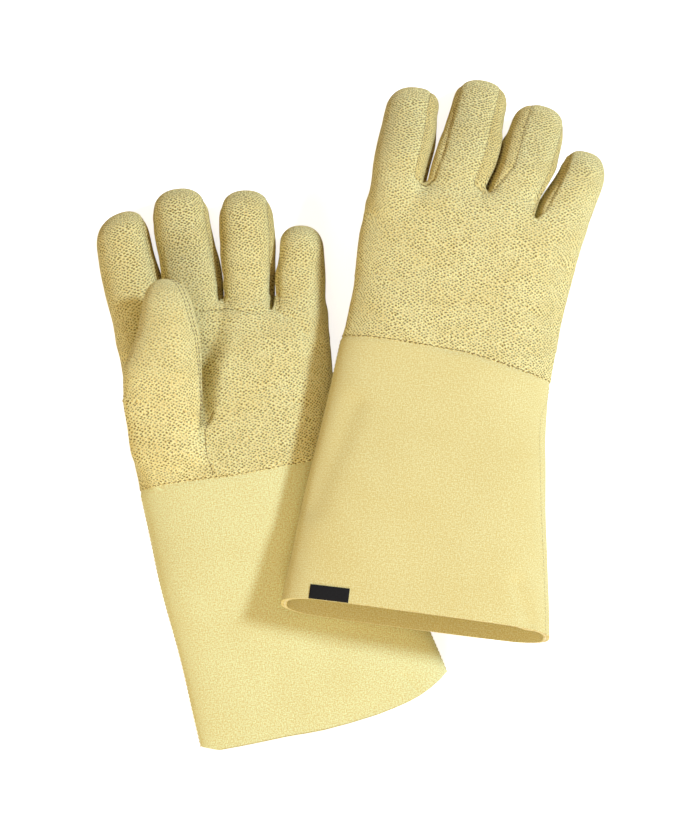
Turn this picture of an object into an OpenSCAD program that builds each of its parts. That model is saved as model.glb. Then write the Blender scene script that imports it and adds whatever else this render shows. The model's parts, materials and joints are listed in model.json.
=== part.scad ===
// Cryogenic gloves: a pair of gauntlets, each cut and sewn from aramid panels
// over felt insulation and a knitted liner. The left glove lies palm up with its
// thumb folded over the palm. The right glove lies palm down beside it, on its
// own thumb and fingertips, with its cuff resting on the left cuff.
// Origin: middle of the pair, on the surface it lies on. +X right, +Y towards
// the fingers, +Z up.

/* [Hand] */
// Distance from the wrist seam to the tip of the index finger
index_reach = 206; // [196:1:216]
// Distance from the wrist seam to the tip of the middle finger
middle_reach = 217; // [204:1:226]
// Distance from the wrist seam to the tip of the ring finger
ring_reach = 204; // [192:1:212]
// Distance from the wrist seam to the tip of the little finger
little_reach = 170; // [164:1:182]
// Distance from the wrist seam to the crotches of the three long fingers
crotch_reach = 126; // [118:1:132]
// Distance from the wrist seam to the crotch of the little finger
little_crotch_reach = 112; // [106:1:116]
// Width of the index finger
index_w = 40; // [36:0.5:42]
// Width of the middle finger
middle_w = 39; // [36:0.5:42]
// Width of the ring finger
ring_w = 37; // [34:0.5:40]
// Width of the little finger
little_w = 37; // [34:0.5:40]
// Thickness of a finger from front to back
finger_h = 30; // [28:0.5:34]
// Thickness of the hand across the palm
palm_h = 38; // [36:0.5:42]
// Height of the side strips sewn between the fingers
fourchette_h = 15; // [10:0.5:18]

/* [Wrist and cuff] */
// Width across the wrist seam
wrist_w = 142; // [134:1:148]
// Thickness at the wrist seam
wrist_h = 36; // [34:0.5:40]
// Length of the cuff from the wrist seam to its mouth
cuff_length = 182; // [150:1:210]
// Width of the cuff at its mouth
mouth_w = 174; // [160:1:180]
// Height of the left mouth, pressed nearly flat
left_mouth_h = 18; // [16:0.5:22]
// Height of the right mouth, standing open
right_mouth_h = 36; // [30:0.5:38]
// Width of the hem band turned in at the mouth
hem_w = 12; // [8:0.5:18]

/* [Thumb] */
// Length of the thumb from its root to its tip
thumb_length = 105; // [100:1:110]
// Width of the thumb at its root
thumb_root_w = 56; // [52:0.5:58]
// Width of the thumb below its tip
thumb_tip_w = 35; // [32:0.5:38]
// Thickness of the thumb
thumb_h = 29; // [27:0.5:31]
// Turn of the folded thumb towards the little finger
thumb_turn = 9; // [4:0.5:12]
// Distance from the wrist seam to the middle of the thumb hole
thumb_hole_reach = 35; // [32:0.5:40]
// Diameter of the thumb hole in the palm
thumb_hole_d = 42; // [36:0.5:44]

/* [Fabric] */
// Thickness of the looped aramid knit on the hand
knit_t = 1.6; // [1.2:0.1:2]
// Thickness of the felt insulation in the hand
felt_t = 3.4; // [2.4:0.1:3.8]
// Thickness of the knitted liner
liner_t = 0.8; // [0.6:0.1:1.2]
// Thickness of the cuff fabric
cuff_t = 2.2; // [1.6:0.1:2.6]
// Thickness of the cuff lining
lining_t = 1.2; // [0.8:0.1:1.6]
// Thickness of a seam, hem or label lying on the fabric
tape_t = 0.7; // [0.5:0.1:1]
// Width of the double-stitched wrist seam
seam_w = 6; // [4:0.5:8]
// Width of the label beside the right mouth
label_w = 27; // [20:0.5:40]
// Height of the label beside the right mouth
label_h = 9.5; // [7:0.5:14]
// Clearance between two layers of one glove
layer_gap = 0.15; // [0.1:0.05:0.3]
// Clearance between parts that move past each other
move_gap = 0.35; // [0.3:0.05:0.6]

// Clearance of the right cuff over the left one it rests on
rest_gap = 1; // [0.9:0.05:1.3]

/* [Lay] */
// Angle of the left hand, turned to the left
left_angle = 10; // [8:0.5:12]
// Angle of the right hand, turned to the right
right_angle = 7; // [5:0.5:9]
// Bend of the left cuff at the wrist
left_bend = 10.5; // [6:0.5:13]

/* [Hidden] */
LEFT = 0;
RIGHT = 1;
SIDE = ["left", "right"];

knit_colour = "#E3D28C";
felt_colour = "#C9B56E";
liner_colour = "#F1EBD2";
cuff_colour = "#EDE09B";
thread_colour = "#B79A50";
label_colour = "#1B1B1D";

// Sections: squareness of the ovals, and points round the hand and cuff, a
// finger and the thumb
section = 2.3;
body_n = 24;
finger_n = 12;
thumb_n = 12;
facet_grow = pow(cos(180 / body_n), -2 / section);

// Where each wrist lies, and how each glove is turned and arranged
wrist_at = [[-80, -49.4], [66.4, 26.6]];
angle = [left_angle, -right_angle];
palm_up = [1, -1];
cuff_bend = [left_bend, 0];
wrist_turn = [0, -6.5];
mouth_turn = [left_bend / 2, 0];
wrist_shift = [5, 0];
finger_lean = [[0.5, 3, 9, 8], [4.5, 7, 12, 12]];

// Fingers, from the index to the little finger
reach = [index_reach, middle_reach, ring_reach, little_reach];
crotch = [crotch_reach, crotch_reach, crotch_reach - 2, little_crotch_reach];
finger_w = [index_w, middle_w, ring_w, little_w];
finger_space = 0.6;
knuckle_w = index_w + middle_w + ring_w + little_w + 3 * finger_space;
knuckle_shift = 9;
function finger_x(k) = knuckle_shift - knuckle_w / 2 + finger_w[k] / 2
    + (k == 0 ? 0 : finger_space * k + [for (i = 0, sum = 0; i <= k;
        sum = sum + (i < k ? finger_w[i] : 0), i = i + 1) sum][k]);

// Half sizes of the hand and cuff along the glove, s being the distance from
// the wrist seam: negative in the cuff, positive in the hand
hand_front = little_crotch_reach;
mouth_h = [left_mouth_h, right_mouth_h];
function half_w(s) = lookup(s, [[-cuff_length, mouth_w / 2], [0, wrist_w / 2],
    [40, (wrist_w + knuckle_w) / 4], [85, knuckle_w / 2 - 0.6],
    [hand_front, knuckle_w / 2 - 0.8]]);
function half_h(g, s) = lookup(s, [[-cuff_length, mouth_h[g] / 2],
    [0, wrist_h / 2], [40, palm_h / 2], [85, palm_h / 2],
    [hand_front, finger_h / 2 + 1.5]]);
function shift_x(g, s) = lookup(s, [[0, wrist_shift[g]], [85, knuckle_shift]]);

// Height of the middle of the glove: the left glove lies on the surface, the
// right hand on its thumb with the fingers drooping, its cuff on the left cuff
hand_z = thumb_h + move_gap + palm_h / 2;
thumb_room = 4;
droop_ease = 30;
droop_dip = 5;
droop_start = thumb_hole_reach + thumb_length + thumb_room;
droop_end = middle_reach - middle_w / 2;
past_tips = 10;
droop_far = middle_reach + past_tips;
finger_lift = 3.5;
finger_end_z = finger_h / 2 + finger_lift;
droop_slope = (finger_end_z - hand_z + droop_dip) / (droop_end - droop_start);
function mid_z(g, s) = g == LEFT
    ? lookup(s, [[-cuff_length, left_mouth_h / 2], [0, wrist_h / 2 + tape_t + layer_gap],
        [40, palm_h / 2], [85, palm_h / 2], [hand_front, finger_h / 2 + 1.5],
        [crotch_reach, finger_h / 2]])
    : lookup(s, [[-cuff_length, hand_z + cuff_drop], [0, hand_z],
        [droop_start - droop_ease, hand_z], [droop_start, hand_z - droop_dip],
        [droop_far, hand_z - droop_dip + droop_slope * (droop_far - droop_start)]]);

// Frame of the section at s: middle in plan, height and turn
function cuff_dir(g) = [sin(cuff_bend[g]), -cos(cuff_bend[g])];
function station(g, s) = s <= 0
    ? let (p = [wrist_shift[g], 0] - s * cuff_dir(g))
        [p.x, p.y, mid_z(g, s),
            lookup(-s, [[0, wrist_turn[g]], [cuff_length, mouth_turn[g]]])]
    : [shift_x(g, s), s, mid_z(g, s),
        lookup(s, [[0, wrist_turn[g]], [50, 0]])];

// Seat of the right cuff: how far its mouth drops below the hand, so that it
// just clears the left cuff all over
function turned(p, a) = [p.x * cos(a) - p.y * sin(a), p.x * sin(a) + p.y * cos(a)];
function in_pair(g, p) = wrist_at[g] + turned(p, angle[g]);
function in_cuff(g, p) = let (q = turned(p - wrist_at[g], -angle[g])
        - [wrist_shift[g], 0], d = cuff_dir(g))
    [q.x * d.x + q.y * d.y, q.x * -d.y + q.y * d.x];
function bulge(g, s, w) = half_h(g, s) * min(1, facet_grow
    * pow(max(0, 1 - pow(abs(w) / (facet_grow * half_w(s)), section)), 1 / section));
function left_top(p) = let (q = in_cuff(LEFT, p), s = -q.x, w = q.y)
    s < -cuff_length - 2 || s > 0 || abs(w) > half_w(s) ? -100
        : mid_z(LEFT, s) + bulge(LEFT, s, w);
seat_steps = 24;
cuff_drop = max([for (i = [3:seat_steps]) let (s = -cuff_length * i / seat_steps)
    for (j = [-seat_steps:seat_steps]) let (w = half_w(s) * j / seat_steps,
        p = in_pair(RIGHT, [w, s]))
    (left_top(p) + rest_gap - hand_z + bulge(RIGHT, s, w)) * seat_steps / i]);

// Points of one section: a rounded flat oval with a facet at the top, bottom
// and sides. n is a multiple of 4.
function oval(frame, w, h, n) = [for (i = [0:n - 1])
    let (a = 360 * (i + 0.5) / n, c = cos(a), d = sin(a), flat = cos(180 / n),
        x = w * sign(c) * pow(abs(c) / flat, 2 / section),
        z = h * sign(d) * pow(abs(d) / flat, 2 / section))
    [frame[0] + x * cos(frame[3]), frame[1] + x * sin(frame[3]), frame[2] + z]];

// Solid through a list of sections of equally many points each, one hull
// between each two
module loft(rings) {
    n = len(rings[0]);
    for (i = [1:len(rings) - 1])
        hull()
            polyhedron(concat(rings[i - 1], rings[i]), [
                [for (j = [0:n - 1]) j],
                [for (j = [n - 1:-1:0]) n + j],
                for (j = [0:n - 1]) [j, n + j, (j + 1) % n],
                for (j = [0:n - 1]) [n + j, n + (j + 1) % n, (j + 1) % n]
            ]);
}

// Hand and cuff without fingers, drawn in by d
overrun = 8;
body_stops = [-cuff_length - overrun, 4, 45, 85];
web_front = crotch_reach - 3;
web_x = (finger_x(0) + finger_x(2)) / 2;
web_w = (finger_x(2) - finger_x(0)) / 2 + 9;
module body_loft(g, d) {
    loft([
        for (s = body_stops)
            oval(station(g, s), half_w(s) - d, half_h(g, s) - d, body_n),
        oval(station(g, hand_front - d), half_w(hand_front) - d,
            half_h(g, hand_front) - d, body_n),
        oval([web_x, web_front - d, mid_z(g, web_front), 0], web_w - d,
            finger_h / 2 - 1 - d, body_n)
    ]);
}

// One finger, k counted from the index, drawn in by d
function finger_frame(g, k, s) = [finger_x(k)
    + max(0, s - crotch[k]) * tan(finger_lean[g][k]), s, mid_z(g, s), 0];
module finger_loft(g, k, d) {
    w = finger_w[k] / 2 - d;
    h = finger_h / 2 - d;
    tip = reach[k] - d;
    cap_start = tip - w * 0.9;
    loft([
        oval(finger_frame(g, k, crotch[k] - 32), w - 0.6, h, finger_n),
        oval(finger_frame(g, k, crotch[k] - 4), w + 0.6, h, finger_n),
        oval(finger_frame(g, k, droop_start), w - 0.2, h, finger_n),
        for (a = [0, 45, 76])
            oval(finger_frame(g, k, cap_start + (tip - cap_start) * sin(a)),
                (w - 0.8) * cos(a), h * pow(cos(a), 0.8), finger_n)
    ]);
}

// Whole glove without its thumb, drawn in by d
module glove(g, d) {
    body_loft(g, d);
    for (k = [0:3])
        finger_loft(g, k, d);
}

// Wall of the glove between two depths
module wall(g, outer, inner) {
    difference() {
        glove(g, outer);
        glove(g, inner);
    }
}

// Thumb, in the plan frame of the glove, drawn in by d
thumb_x = knuckle_shift - knuckle_w / 2 + thumb_root_w / 2 + 1;
function thumb_z(g) = mid_z(g, thumb_hole_reach)
    + palm_up[g] * (palm_h / 2 + move_gap + thumb_h / 2);
function thumb_frame(g, s) = [thumb_x + s * sin(thumb_turn),
    thumb_hole_reach + s * cos(thumb_turn), thumb_z(g), -thumb_turn];
module thumb_loft(g, d) {
    root = thumb_root_w / 2 - d;
    tip = thumb_tip_w / 2 - d;
    h = thumb_h / 2 - d;
    cap_start = thumb_length - thumb_tip_w / 2;
    loft([
        for (a = [-76, -45, 0])
            oval(thumb_frame(g, root * sin(a)), root * cos(a),
                h * pow(cos(a), 0.5), thumb_n),
        oval(thumb_frame(g, cap_start * 0.5), root * 0.6 + tip * 0.4 + 1, h, thumb_n),
        for (a = [0, 45, 76])
            oval(thumb_frame(g, cap_start + tip * sin(a)), tip * cos(a),
                h * pow(cos(a), 0.8), thumb_n)
    ]);
}

// Upright cylinder on the axis of the thumb hole, from height a to height b
module at_thumb_hole(a, b, r) {
    translate([thumb_x, thumb_hole_reach, min(a, b)])
        cylinder(h = abs(b - a), r = r, $fn = 40);
}
module thumb_opening(g, r) {
    at_thumb_hole(mid_z(g, thumb_hole_reach), thumb_z(g), r);
}

// Everything above the middle surface, and the part of a child on one face of
// it: up is 1 above, -1 below
far = 260;
tall = 120;
region_stops = [for (s = [-cuff_length - 2 * overrun, 0, 40, 85, hand_front,
    crotch_reach, droop_start, droop_far]) s + 0.5];
module upper_region(g) {
    loft([for (s = region_stops) let (f = station(g, s))
        [for (c = [[-far, 0], [far, 0], [far, tall], [-far, tall]])
            [f.x + c.x * cos(f[3]), f.y + c.x * sin(f[3]), f.z + c.y]]]);
}
module on_face(g, up) {
    if (up > 0)
        intersection() {
            children();
            upper_region(g);
        }
    else
        difference() {
            children();
            upper_region(g);
        }
}

// Plan area between two stations, as tall as the pair
module length_region(g, from, to) {
    a = station(g, from);
    b = station(g, to);
    linear_extrude(2 * far, center = true)
        polygon([for (e = [[a, -far], [a, far], [b, far], [b, -far]])
            [e[0].x + e[1] * cos(e[0][3]), e[0].y + e[1] * sin(e[0][3])]]);
}

// Side strip between finger k and the next one, narrowing towards the tips
fourchette_root = 14;
fourchette_short = 9;
module fourchette_region(g, k) {
    root = crotch[k + 1] - fourchette_root;
    short = min(reach[k], reach[k + 1]) - fourchette_short;
    ends = [[root, fourchette_h / 2], [droop_start, fourchette_h / 2],
        [short, fourchette_h / 5]];
    intersection() {
        linear_extrude(2 * far, center = true)
            polygon([for (e = [[k, root], [k, far], [k + 1, far], [k + 1, root]])
                let (f = finger_frame(g, e[0], e[1])) [f.x, f.y]]);
        loft([for (e = ends) [for (c = [[-1, -1], [1, -1], [1, 1], [-1, 1]])
            [c.x * far, e[0], mid_z(g, e[0]) + c.y * e[1]]]]);
    }
}
module fourchette_regions(g) {
    for (k = [0:2])
        fourchette_region(g, k);
}

// Fronts of the two middle fingers, set in above the palm
two_finger_seam = crotch_reach - 8;
module two_finger_region(g) {
    linear_extrude(2 * far, center = true)
        polygon([for (e = [[0, 1, two_finger_seam], [0, 1, far], [2, 3, far],
                [2, 3, two_finger_seam]])
            let (a = finger_frame(g, e[0], e[2]), b = finger_frame(g, e[1], e[2]))
            [(a.x + b.x) / 2, e[2]]]);
}

module place(g) {
    translate([wrist_at[g].x, wrist_at[g].y, 0])
        rotate(angle[g])
            children();
}

// Depths at which the layers of the hand and of the cuff start
felt_in = knit_t + layer_gap;
liner_in = felt_in + felt_t + layer_gap;
lining_in = cuff_t + layer_gap;
hem_in = lining_in + lining_t + layer_gap;
collar_t = 1.2;
collar_out = 5;
collar_in = 2;

// Looped knit of the hand: everything above the wrist seam
module hand_wall(g, outer, inner) {
    intersection() {
        wall(g, outer, inner);
        length_region(g, 0, far);
    }
}

module back_panel(g) {
    color(knit_colour) place(g)
        difference() {
            on_face(g, -palm_up[g])
                hand_wall(g, 0, knit_t);
            fourchette_regions(g);
        }
}

module palm_panel(g) {
    color(knit_colour) place(g)
        difference() {
            on_face(g, palm_up[g])
                hand_wall(g, 0, knit_t);
            fourchette_regions(g);
            two_finger_region(g);
            thumb_opening(g, thumb_hole_d / 2 + layer_gap);
        }
}

module two_finger_front(g) {
    color(knit_colour) place(g)
        difference() {
            on_face(g, palm_up[g])
                intersection() {
                    hand_wall(g, 0, knit_t);
                    two_finger_region(g);
                }
            fourchette_regions(g);
        }
}

module fourchette(g, k) {
    color(felt_colour) place(g)
        intersection() {
            hand_wall(g, 0, knit_t);
            fourchette_region(g, k);
        }
}

module insulation(g) {
    color(felt_colour) place(g)
        difference() {
            hand_wall(g, felt_in, felt_in + felt_t);
            thumb_opening(g, thumb_hole_d / 2 + layer_gap);
        }
}

module liner(g) {
    color(liner_colour) place(g)
        difference() {
            hand_wall(g, liner_in, liner_in + liner_t);
            thumb_opening(g, thumb_hole_d / 2 + layer_gap);
        }
}

// Collar of seam allowance standing in the thumb hole, which the thumb turns on
module thumb_seam(g) {
    top = mid_z(g, thumb_hole_reach) + palm_up[g] * (palm_h / 2 + collar_out);
    bottom = top - palm_up[g] * (collar_out + liner_in + liner_t + collar_in);
    color(thread_colour) place(g)
        difference() {
            at_thumb_hole(bottom, top, thumb_hole_d / 2);
            at_thumb_hole(bottom - 1, top + 1, thumb_hole_d / 2 - collar_t);
            at_thumb_hole(bottom + 1, top - 1, thumb_hole_d / 2 - collar_t);
        }
}

module thumb_wall(g, outer, inner) {
    difference() {
        thumb_loft(g, outer);
        thumb_loft(g, inner);
        thumb_opening(g, thumb_hole_d / 2 + move_gap);
    }
}

// Half space above or below the middle of the thumb
module thumb_half(g, up) {
    translate([-far, -far, thumb_z(g) - (up > 0 ? 0 : far)])
        cube([2 * far, 2 * far, far]);
}

module thumb_front(g) {
    color(knit_colour) place(g)
        intersection() {
            thumb_wall(g, 0, knit_t);
            thumb_half(g, palm_up[g]);
        }
}

module thumb_back(g) {
    color(knit_colour) place(g)
        intersection() {
            thumb_wall(g, 0, knit_t);
            thumb_half(g, -palm_up[g]);
        }
}

module thumb_insulation(g) {
    color(felt_colour) place(g)
        thumb_wall(g, felt_in, felt_in + felt_t);
}

module thumb_liner(g) {
    color(liner_colour) place(g)
        thumb_wall(g, liner_in, liner_in + liner_t);
}

module cuff_wall(g, outer, inner) {
    intersection() {
        difference() {
            body_loft(g, outer);
            body_loft(g, inner);
        }
        length_region(g, -cuff_length, 0);
    }
}

module cuff_panel(g, up) {
    color(cuff_colour) place(g)
        on_face(g, up)
            cuff_wall(g, 0, cuff_t);
}

module cuff_lining(g) {
    color(liner_colour) place(g)
        cuff_wall(g, lining_in, lining_in + lining_t);
}

module cuff_hem(g) {
    color(cuff_colour) place(g)
        intersection() {
            cuff_wall(g, hem_in, hem_in + tape_t);
            length_region(g, -cuff_length, -cuff_length + hem_w);
        }
}

// Double-stitched overlap of cuff and hand
module wrist_seam(g) {
    color(thread_colour) place(g)
        intersection() {
            difference() {
                body_loft(g, -tape_t);
                body_loft(g, 0);
            }
            length_region(g, -seam_w / 2, seam_w / 2);
        }
}

// Bare woven label sewn on the back of the cuff beside the mouth
label_inset = 30;
module label(g) {
    mouth = station(g, -cuff_length);
    color(label_colour) place(g)
        intersection() {
            difference() {
                body_loft(g, -tape_t);
                body_loft(g, 0);
            }
            upper_region(g);
            translate([mouth.x - mouth_w / 2 + label_inset, mouth.y + 1, 0])
                rotate(mouth[3])
                    translate([-label_w / 2, 0, 0])
                        cube([label_w, label_h, 2 * far]);
        }
}

back_panel(LEFT);  // left_back_panel
palm_panel(LEFT);  // left_palm_panel
two_finger_front(LEFT);  // left_two_finger_front
fourchette(LEFT, 0);  // left_fourchette_1
fourchette(LEFT, 1);  // left_fourchette_2
fourchette(LEFT, 2);  // left_fourchette_3
insulation(LEFT);  // left_insulation
liner(LEFT);  // left_liner
thumb_front(LEFT);  // left_thumb_front
thumb_back(LEFT);  // left_thumb_back
thumb_insulation(LEFT);  // left_thumb_insulation
thumb_liner(LEFT);  // left_thumb_liner
thumb_seam(LEFT);  // left_thumb_seam
wrist_seam(LEFT);  // left_wrist_seam
cuff_panel(LEFT, -1);  // left_cuff_back
cuff_panel(LEFT, 1);  // left_cuff_palm
cuff_lining(LEFT);  // left_cuff_lining
cuff_hem(LEFT);  // left_cuff_hem
back_panel(RIGHT);  // right_back_panel
palm_panel(RIGHT);  // right_palm_panel
two_finger_front(RIGHT);  // right_two_finger_front
fourchette(RIGHT, 0);  // right_fourchette_1
fourchette(RIGHT, 1);  // right_fourchette_2
fourchette(RIGHT, 2);  // right_fourchette_3
insulation(RIGHT);  // right_insulation
liner(RIGHT);  // right_liner
thumb_front(RIGHT);  // right_thumb_front
thumb_back(RIGHT);  // right_thumb_back
thumb_insulation(RIGHT);  // right_thumb_insulation
thumb_liner(RIGHT);  // right_thumb_liner
thumb_seam(RIGHT);  // right_thumb_seam
wrist_seam(RIGHT);  // right_wrist_seam
cuff_panel(RIGHT, 1);  // right_cuff_back
cuff_panel(RIGHT, -1);  // right_cuff_palm
cuff_lining(RIGHT);  // right_cuff_lining
cuff_hem(RIGHT);  // right_cuff_hem
label(RIGHT);  // right_label
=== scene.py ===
"""A pair of cryogenic gloves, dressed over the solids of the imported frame.

Each glove is one smooth skin, worked out from sections along the hand, cut
apart on its seam lines into the panels it is sewn from, and stitched.
Lengths are in millimetres in a glove's own plan: across, towards the
fingertips and up. place() puts them in the pair, in metres. Where a value
differs between the gloves, the left glove's comes first.
"""

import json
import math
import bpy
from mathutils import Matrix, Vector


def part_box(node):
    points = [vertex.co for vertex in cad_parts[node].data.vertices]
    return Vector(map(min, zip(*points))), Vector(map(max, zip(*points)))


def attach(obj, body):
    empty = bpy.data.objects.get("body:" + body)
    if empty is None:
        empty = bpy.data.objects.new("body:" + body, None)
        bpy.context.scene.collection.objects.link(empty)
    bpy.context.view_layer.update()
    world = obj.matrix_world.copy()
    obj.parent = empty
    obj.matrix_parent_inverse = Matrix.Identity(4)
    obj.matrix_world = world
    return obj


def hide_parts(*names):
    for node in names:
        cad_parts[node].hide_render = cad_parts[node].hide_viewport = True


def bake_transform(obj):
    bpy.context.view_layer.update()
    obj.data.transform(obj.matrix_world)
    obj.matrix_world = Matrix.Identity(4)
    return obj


bl_info = {
    "name": "Cryogenic gloves",
    "version": (1, 0, 0),
    "blender": (4, 5, 0),
    "location": "3D View > Sidebar > Gloves",
    "description": "Builds a pair of sewn cryogenic gloves with their seams, stitches and materials",
    "category": "Object",
}

import bpy
import numpy as np
from mathutils import Matrix, Vector
from mathutils.bvhtree import BVHTree

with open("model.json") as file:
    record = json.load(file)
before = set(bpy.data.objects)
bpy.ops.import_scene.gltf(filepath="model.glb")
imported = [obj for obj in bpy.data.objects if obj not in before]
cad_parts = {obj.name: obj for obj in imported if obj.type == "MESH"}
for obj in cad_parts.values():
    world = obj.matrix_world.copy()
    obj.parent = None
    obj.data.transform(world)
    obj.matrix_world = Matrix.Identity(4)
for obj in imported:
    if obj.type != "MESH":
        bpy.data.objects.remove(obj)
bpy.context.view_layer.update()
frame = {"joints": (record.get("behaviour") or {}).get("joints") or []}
MM = 0.001
LEFT, RIGHT = 0, 1
SIDES = ("left", "right")

# ---------------------------------------------------------------- the hand

# Sizes that the solids are drawn from, finger by finger from the index finger
REACH = (206.0, 217.0, 204.0, 170.0)
CROTCH = (126.0, 126.0, 124.0, 112.0)
FINGER_W = (40.0, 39.0, 37.0, 37.0)
FINGER_GAP = 0.6
FINGER_H = 30.0
PALM_H = 38.0
KNUCKLE_W = sum(FINGER_W) + 3 * FINGER_GAP
KNUCKLE_SHIFT = 9.0
CUFF = 182.0
LEAN = ((0.5, 3.0, 9.0, 8.0), (4.5, 7.0, 12.0, 12.0))
# How each finger of each glove is filled: how far its tip lies beyond its reach, how
# much its tip slants, and its edges, as (distance from the wrist, left, right of its line)
FINGERS = (
    ((-4.5, 0.2, [(121, -17.0, 21.5), (140, -19.0, 22.5), (157, -20.6, 20.8), (172, -21.0, 18.6),
                  (185, -20.8, 17.4)]),
     (-3.5, 0.0, [(123, -18.5, 23.4), (142, -18.6, 24.4), (158, -19.6, 22.6), (172, -21.2, 20.8),
                  (185, -22.0, 18.8)]),
     (0.5, 0.0, [(112, -16.6, 21.6), (124, -16.6, 21.2), (142, -17.6, 20.6), (156, -19.2, 21.2),
                 (170, -20.0, 21.0), (184, -20.2, 19.6)]),
     (1.6, 0.0, [(99, -15.5, 17.6), (114, -16.4, 17.3), (125, -19.0, 17.4), (136, -18.6, 17.4),
                 (149, -16.2, 16.8), (158, -14.8, 16.6)])),
    ((1.5, 0.1, [(123, -17.3, 20.8), (141, -19.4, 21.2), (157, -19.8, 22.2), (170, -19.8, 21.6),
                 (186, -19.4, 18.8)]),
     (3.6, 0.0, [(129, -19.0, 21.6), (140, -19.4, 24.4), (151, -19.0, 25.6), (164, -18.8, 25.0),
                 (175, -18.4, 24.0), (190, -17.5, 22.4)]),
     (1.0, 0.0, [(114, -18.4, 19.4), (126, -18.4, 22.2), (135, -17.9, 24.6), (146, -17.4, 26.6),
                 (163, -17.8, 25.6), (175, -17.8, 24.0), (186, -16.4, 22.2)]),
     (-1.8, 0.0, [(100, -20.0, 21.0), (113, -20.8, 21.2), (126, -18.2, 21.3), (135, -16.4, 22.0),
                  (143, -14.2, 22.0), (155, -12.4, 19.4)])),
)
# How much deeper than the crotch the slits between the fingers run, how far they lean
# for each millimetre of height, and half of the most room that is in them
SLIT_DEEPER = ((1.0, 0.0, 1.0), (2.0, 2.0, 6.0))
SLIT_TILT = ((-0.35, -0.35, -0.35), (-0.3, 0.35, 0.35))
SLIT_ROOM = 1.55
# Fingers with less than this gap press on each other, and then reach this much further
PRESS_GAP, PRESS_ON = 2.4, 1.5
# Where the rounded end of the hand's body starts, how long it is, and how far the
# fingers reach back into the body
BODY_END, BODY_ROUND = 104.0, 22.0
FINGER_ROOT = 44.0
# Power of the ovals: 2 is an ellipse, and more is fuller at the corners
SECTION = 2.3
# Heights of the mouths, of the middle of the right hand as it lies on its thumb, and
# how much the wrists are pressed down
MOUTH_H = (18.0, 38.0)
RIGHT_HAND_Z = 48.35
PRESSED = (0.0, 1.8)
# Half widths and middle lines of the gloves, from mouth to knuckles
HALF_W = ([(-CUFF, 88.2), (-130, 85.2), (-60, 76.8), (0, 69.8), (40, 72.5), (85, 74.3), (112, 75.3)],
          [(-CUFF, 91.0), (-150, 87.8), (-89, 81.0), (-36, 75.5), (0, 73.2), (42, 73.2), (80, 76.5),
           (112, 77.2)])
MIDDLE = ([(-CUFF, 6.4), (-130, 8.0), (-60, 5.5), (0, 6.2), (63, 9.3), (85, 10.3)],
          [(-CUFF, 2.2), (-150, 1.6), (-89, -0.9), (-36, -0.5), (0, 1.0), (42, 4.3), (80, 6.7),
           (112, 9.6)])

THUMB = (-39.4, 35.0)
THUMB_LENGTH = 105.0
THUMB_TURN = math.radians(9)
THUMB_ROUND = 34.0
# The thumb's half width, its shift to one side, its top and its underside along it
THUMB_W = [(-40, 16), (-20, 20), (0, 24.5), (20, 27.6), (42, 27.1), (50, 25.1), (61.5, 22.2),
           (70, 20.3), (81, 18.5), (140, 18.5)]
THUMB_SHIFT = [(30, -0.9), (42, -0.9), (50, 0.9), (61.5, 2.8), (70, 3.1), (81, 2.6), (95, 1.5),
               (105, 1.2)]
THUMB_TOP = [(-45, 16), (-30, 19), (0, 31), (20, 40), (36, 46), (60, 47.5), (110, 47)]
THUMB_LOW = [(-45, 2), (-30, 5), (0, 14), (12, 22.4), (30, 22.6), (110, 22.4)]
# Where the free thumb starts: a line across its root, facing this way, and a length
# along the thumb past that line, to an end point that nothing uses
THUMB_START = (-39.4, 49.6)
THUMB_FACING = (0.361, 0.9326)
THUMB_BLEND = 38.0
# The hollow beside the thumb, along the palm: where it is deepest, where it ends across
# the palm, and its depth
DENT_LOW = [(36, -11), (60, -13), (100, -12), (128, -10)]
DENT_HIGH = [(34, -6), (42, -2), (54, 3.5), (66, 7), (78, 10), (86, 16), (94, 19), (106, 23), (118, 22)]
DENT_DEPTH = [(34, 0), (42, 5), (54, 9), (66, 12), (78, 14), (100, 13.5), (110, 9.5), (120, 0)]

STATIONS = np.arange(-240.0, 270.0, 1.0)


def value_at(points, x):
    """Value at x on the line through (x, value) pairs."""
    return np.interp(x, *zip(*points))


def track(points, spread=6.0, window=24):
    """Smooth value along the glove from (distance from the wrist, value) pairs."""
    weights = np.exp(-0.5 * (np.arange(-window, window + 1) / spread) ** 2)
    padded = np.pad(value_at(points, STATIONS), window, mode="edge")
    values = np.convolve(padded, weights / weights.sum(), mode="valid")
    return lambda s: np.interp(s, STATIONS, values)


def smooth_step(x):
    x = np.clip(x, 0.0, 1.0)
    return x * x * (3 - 2 * x)


def finger_x(k):
    return KNUCKLE_SHIFT - KNUCKLE_W / 2 + sum(FINGER_W[:k]) + FINGER_GAP * k + FINGER_W[k] / 2


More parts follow.
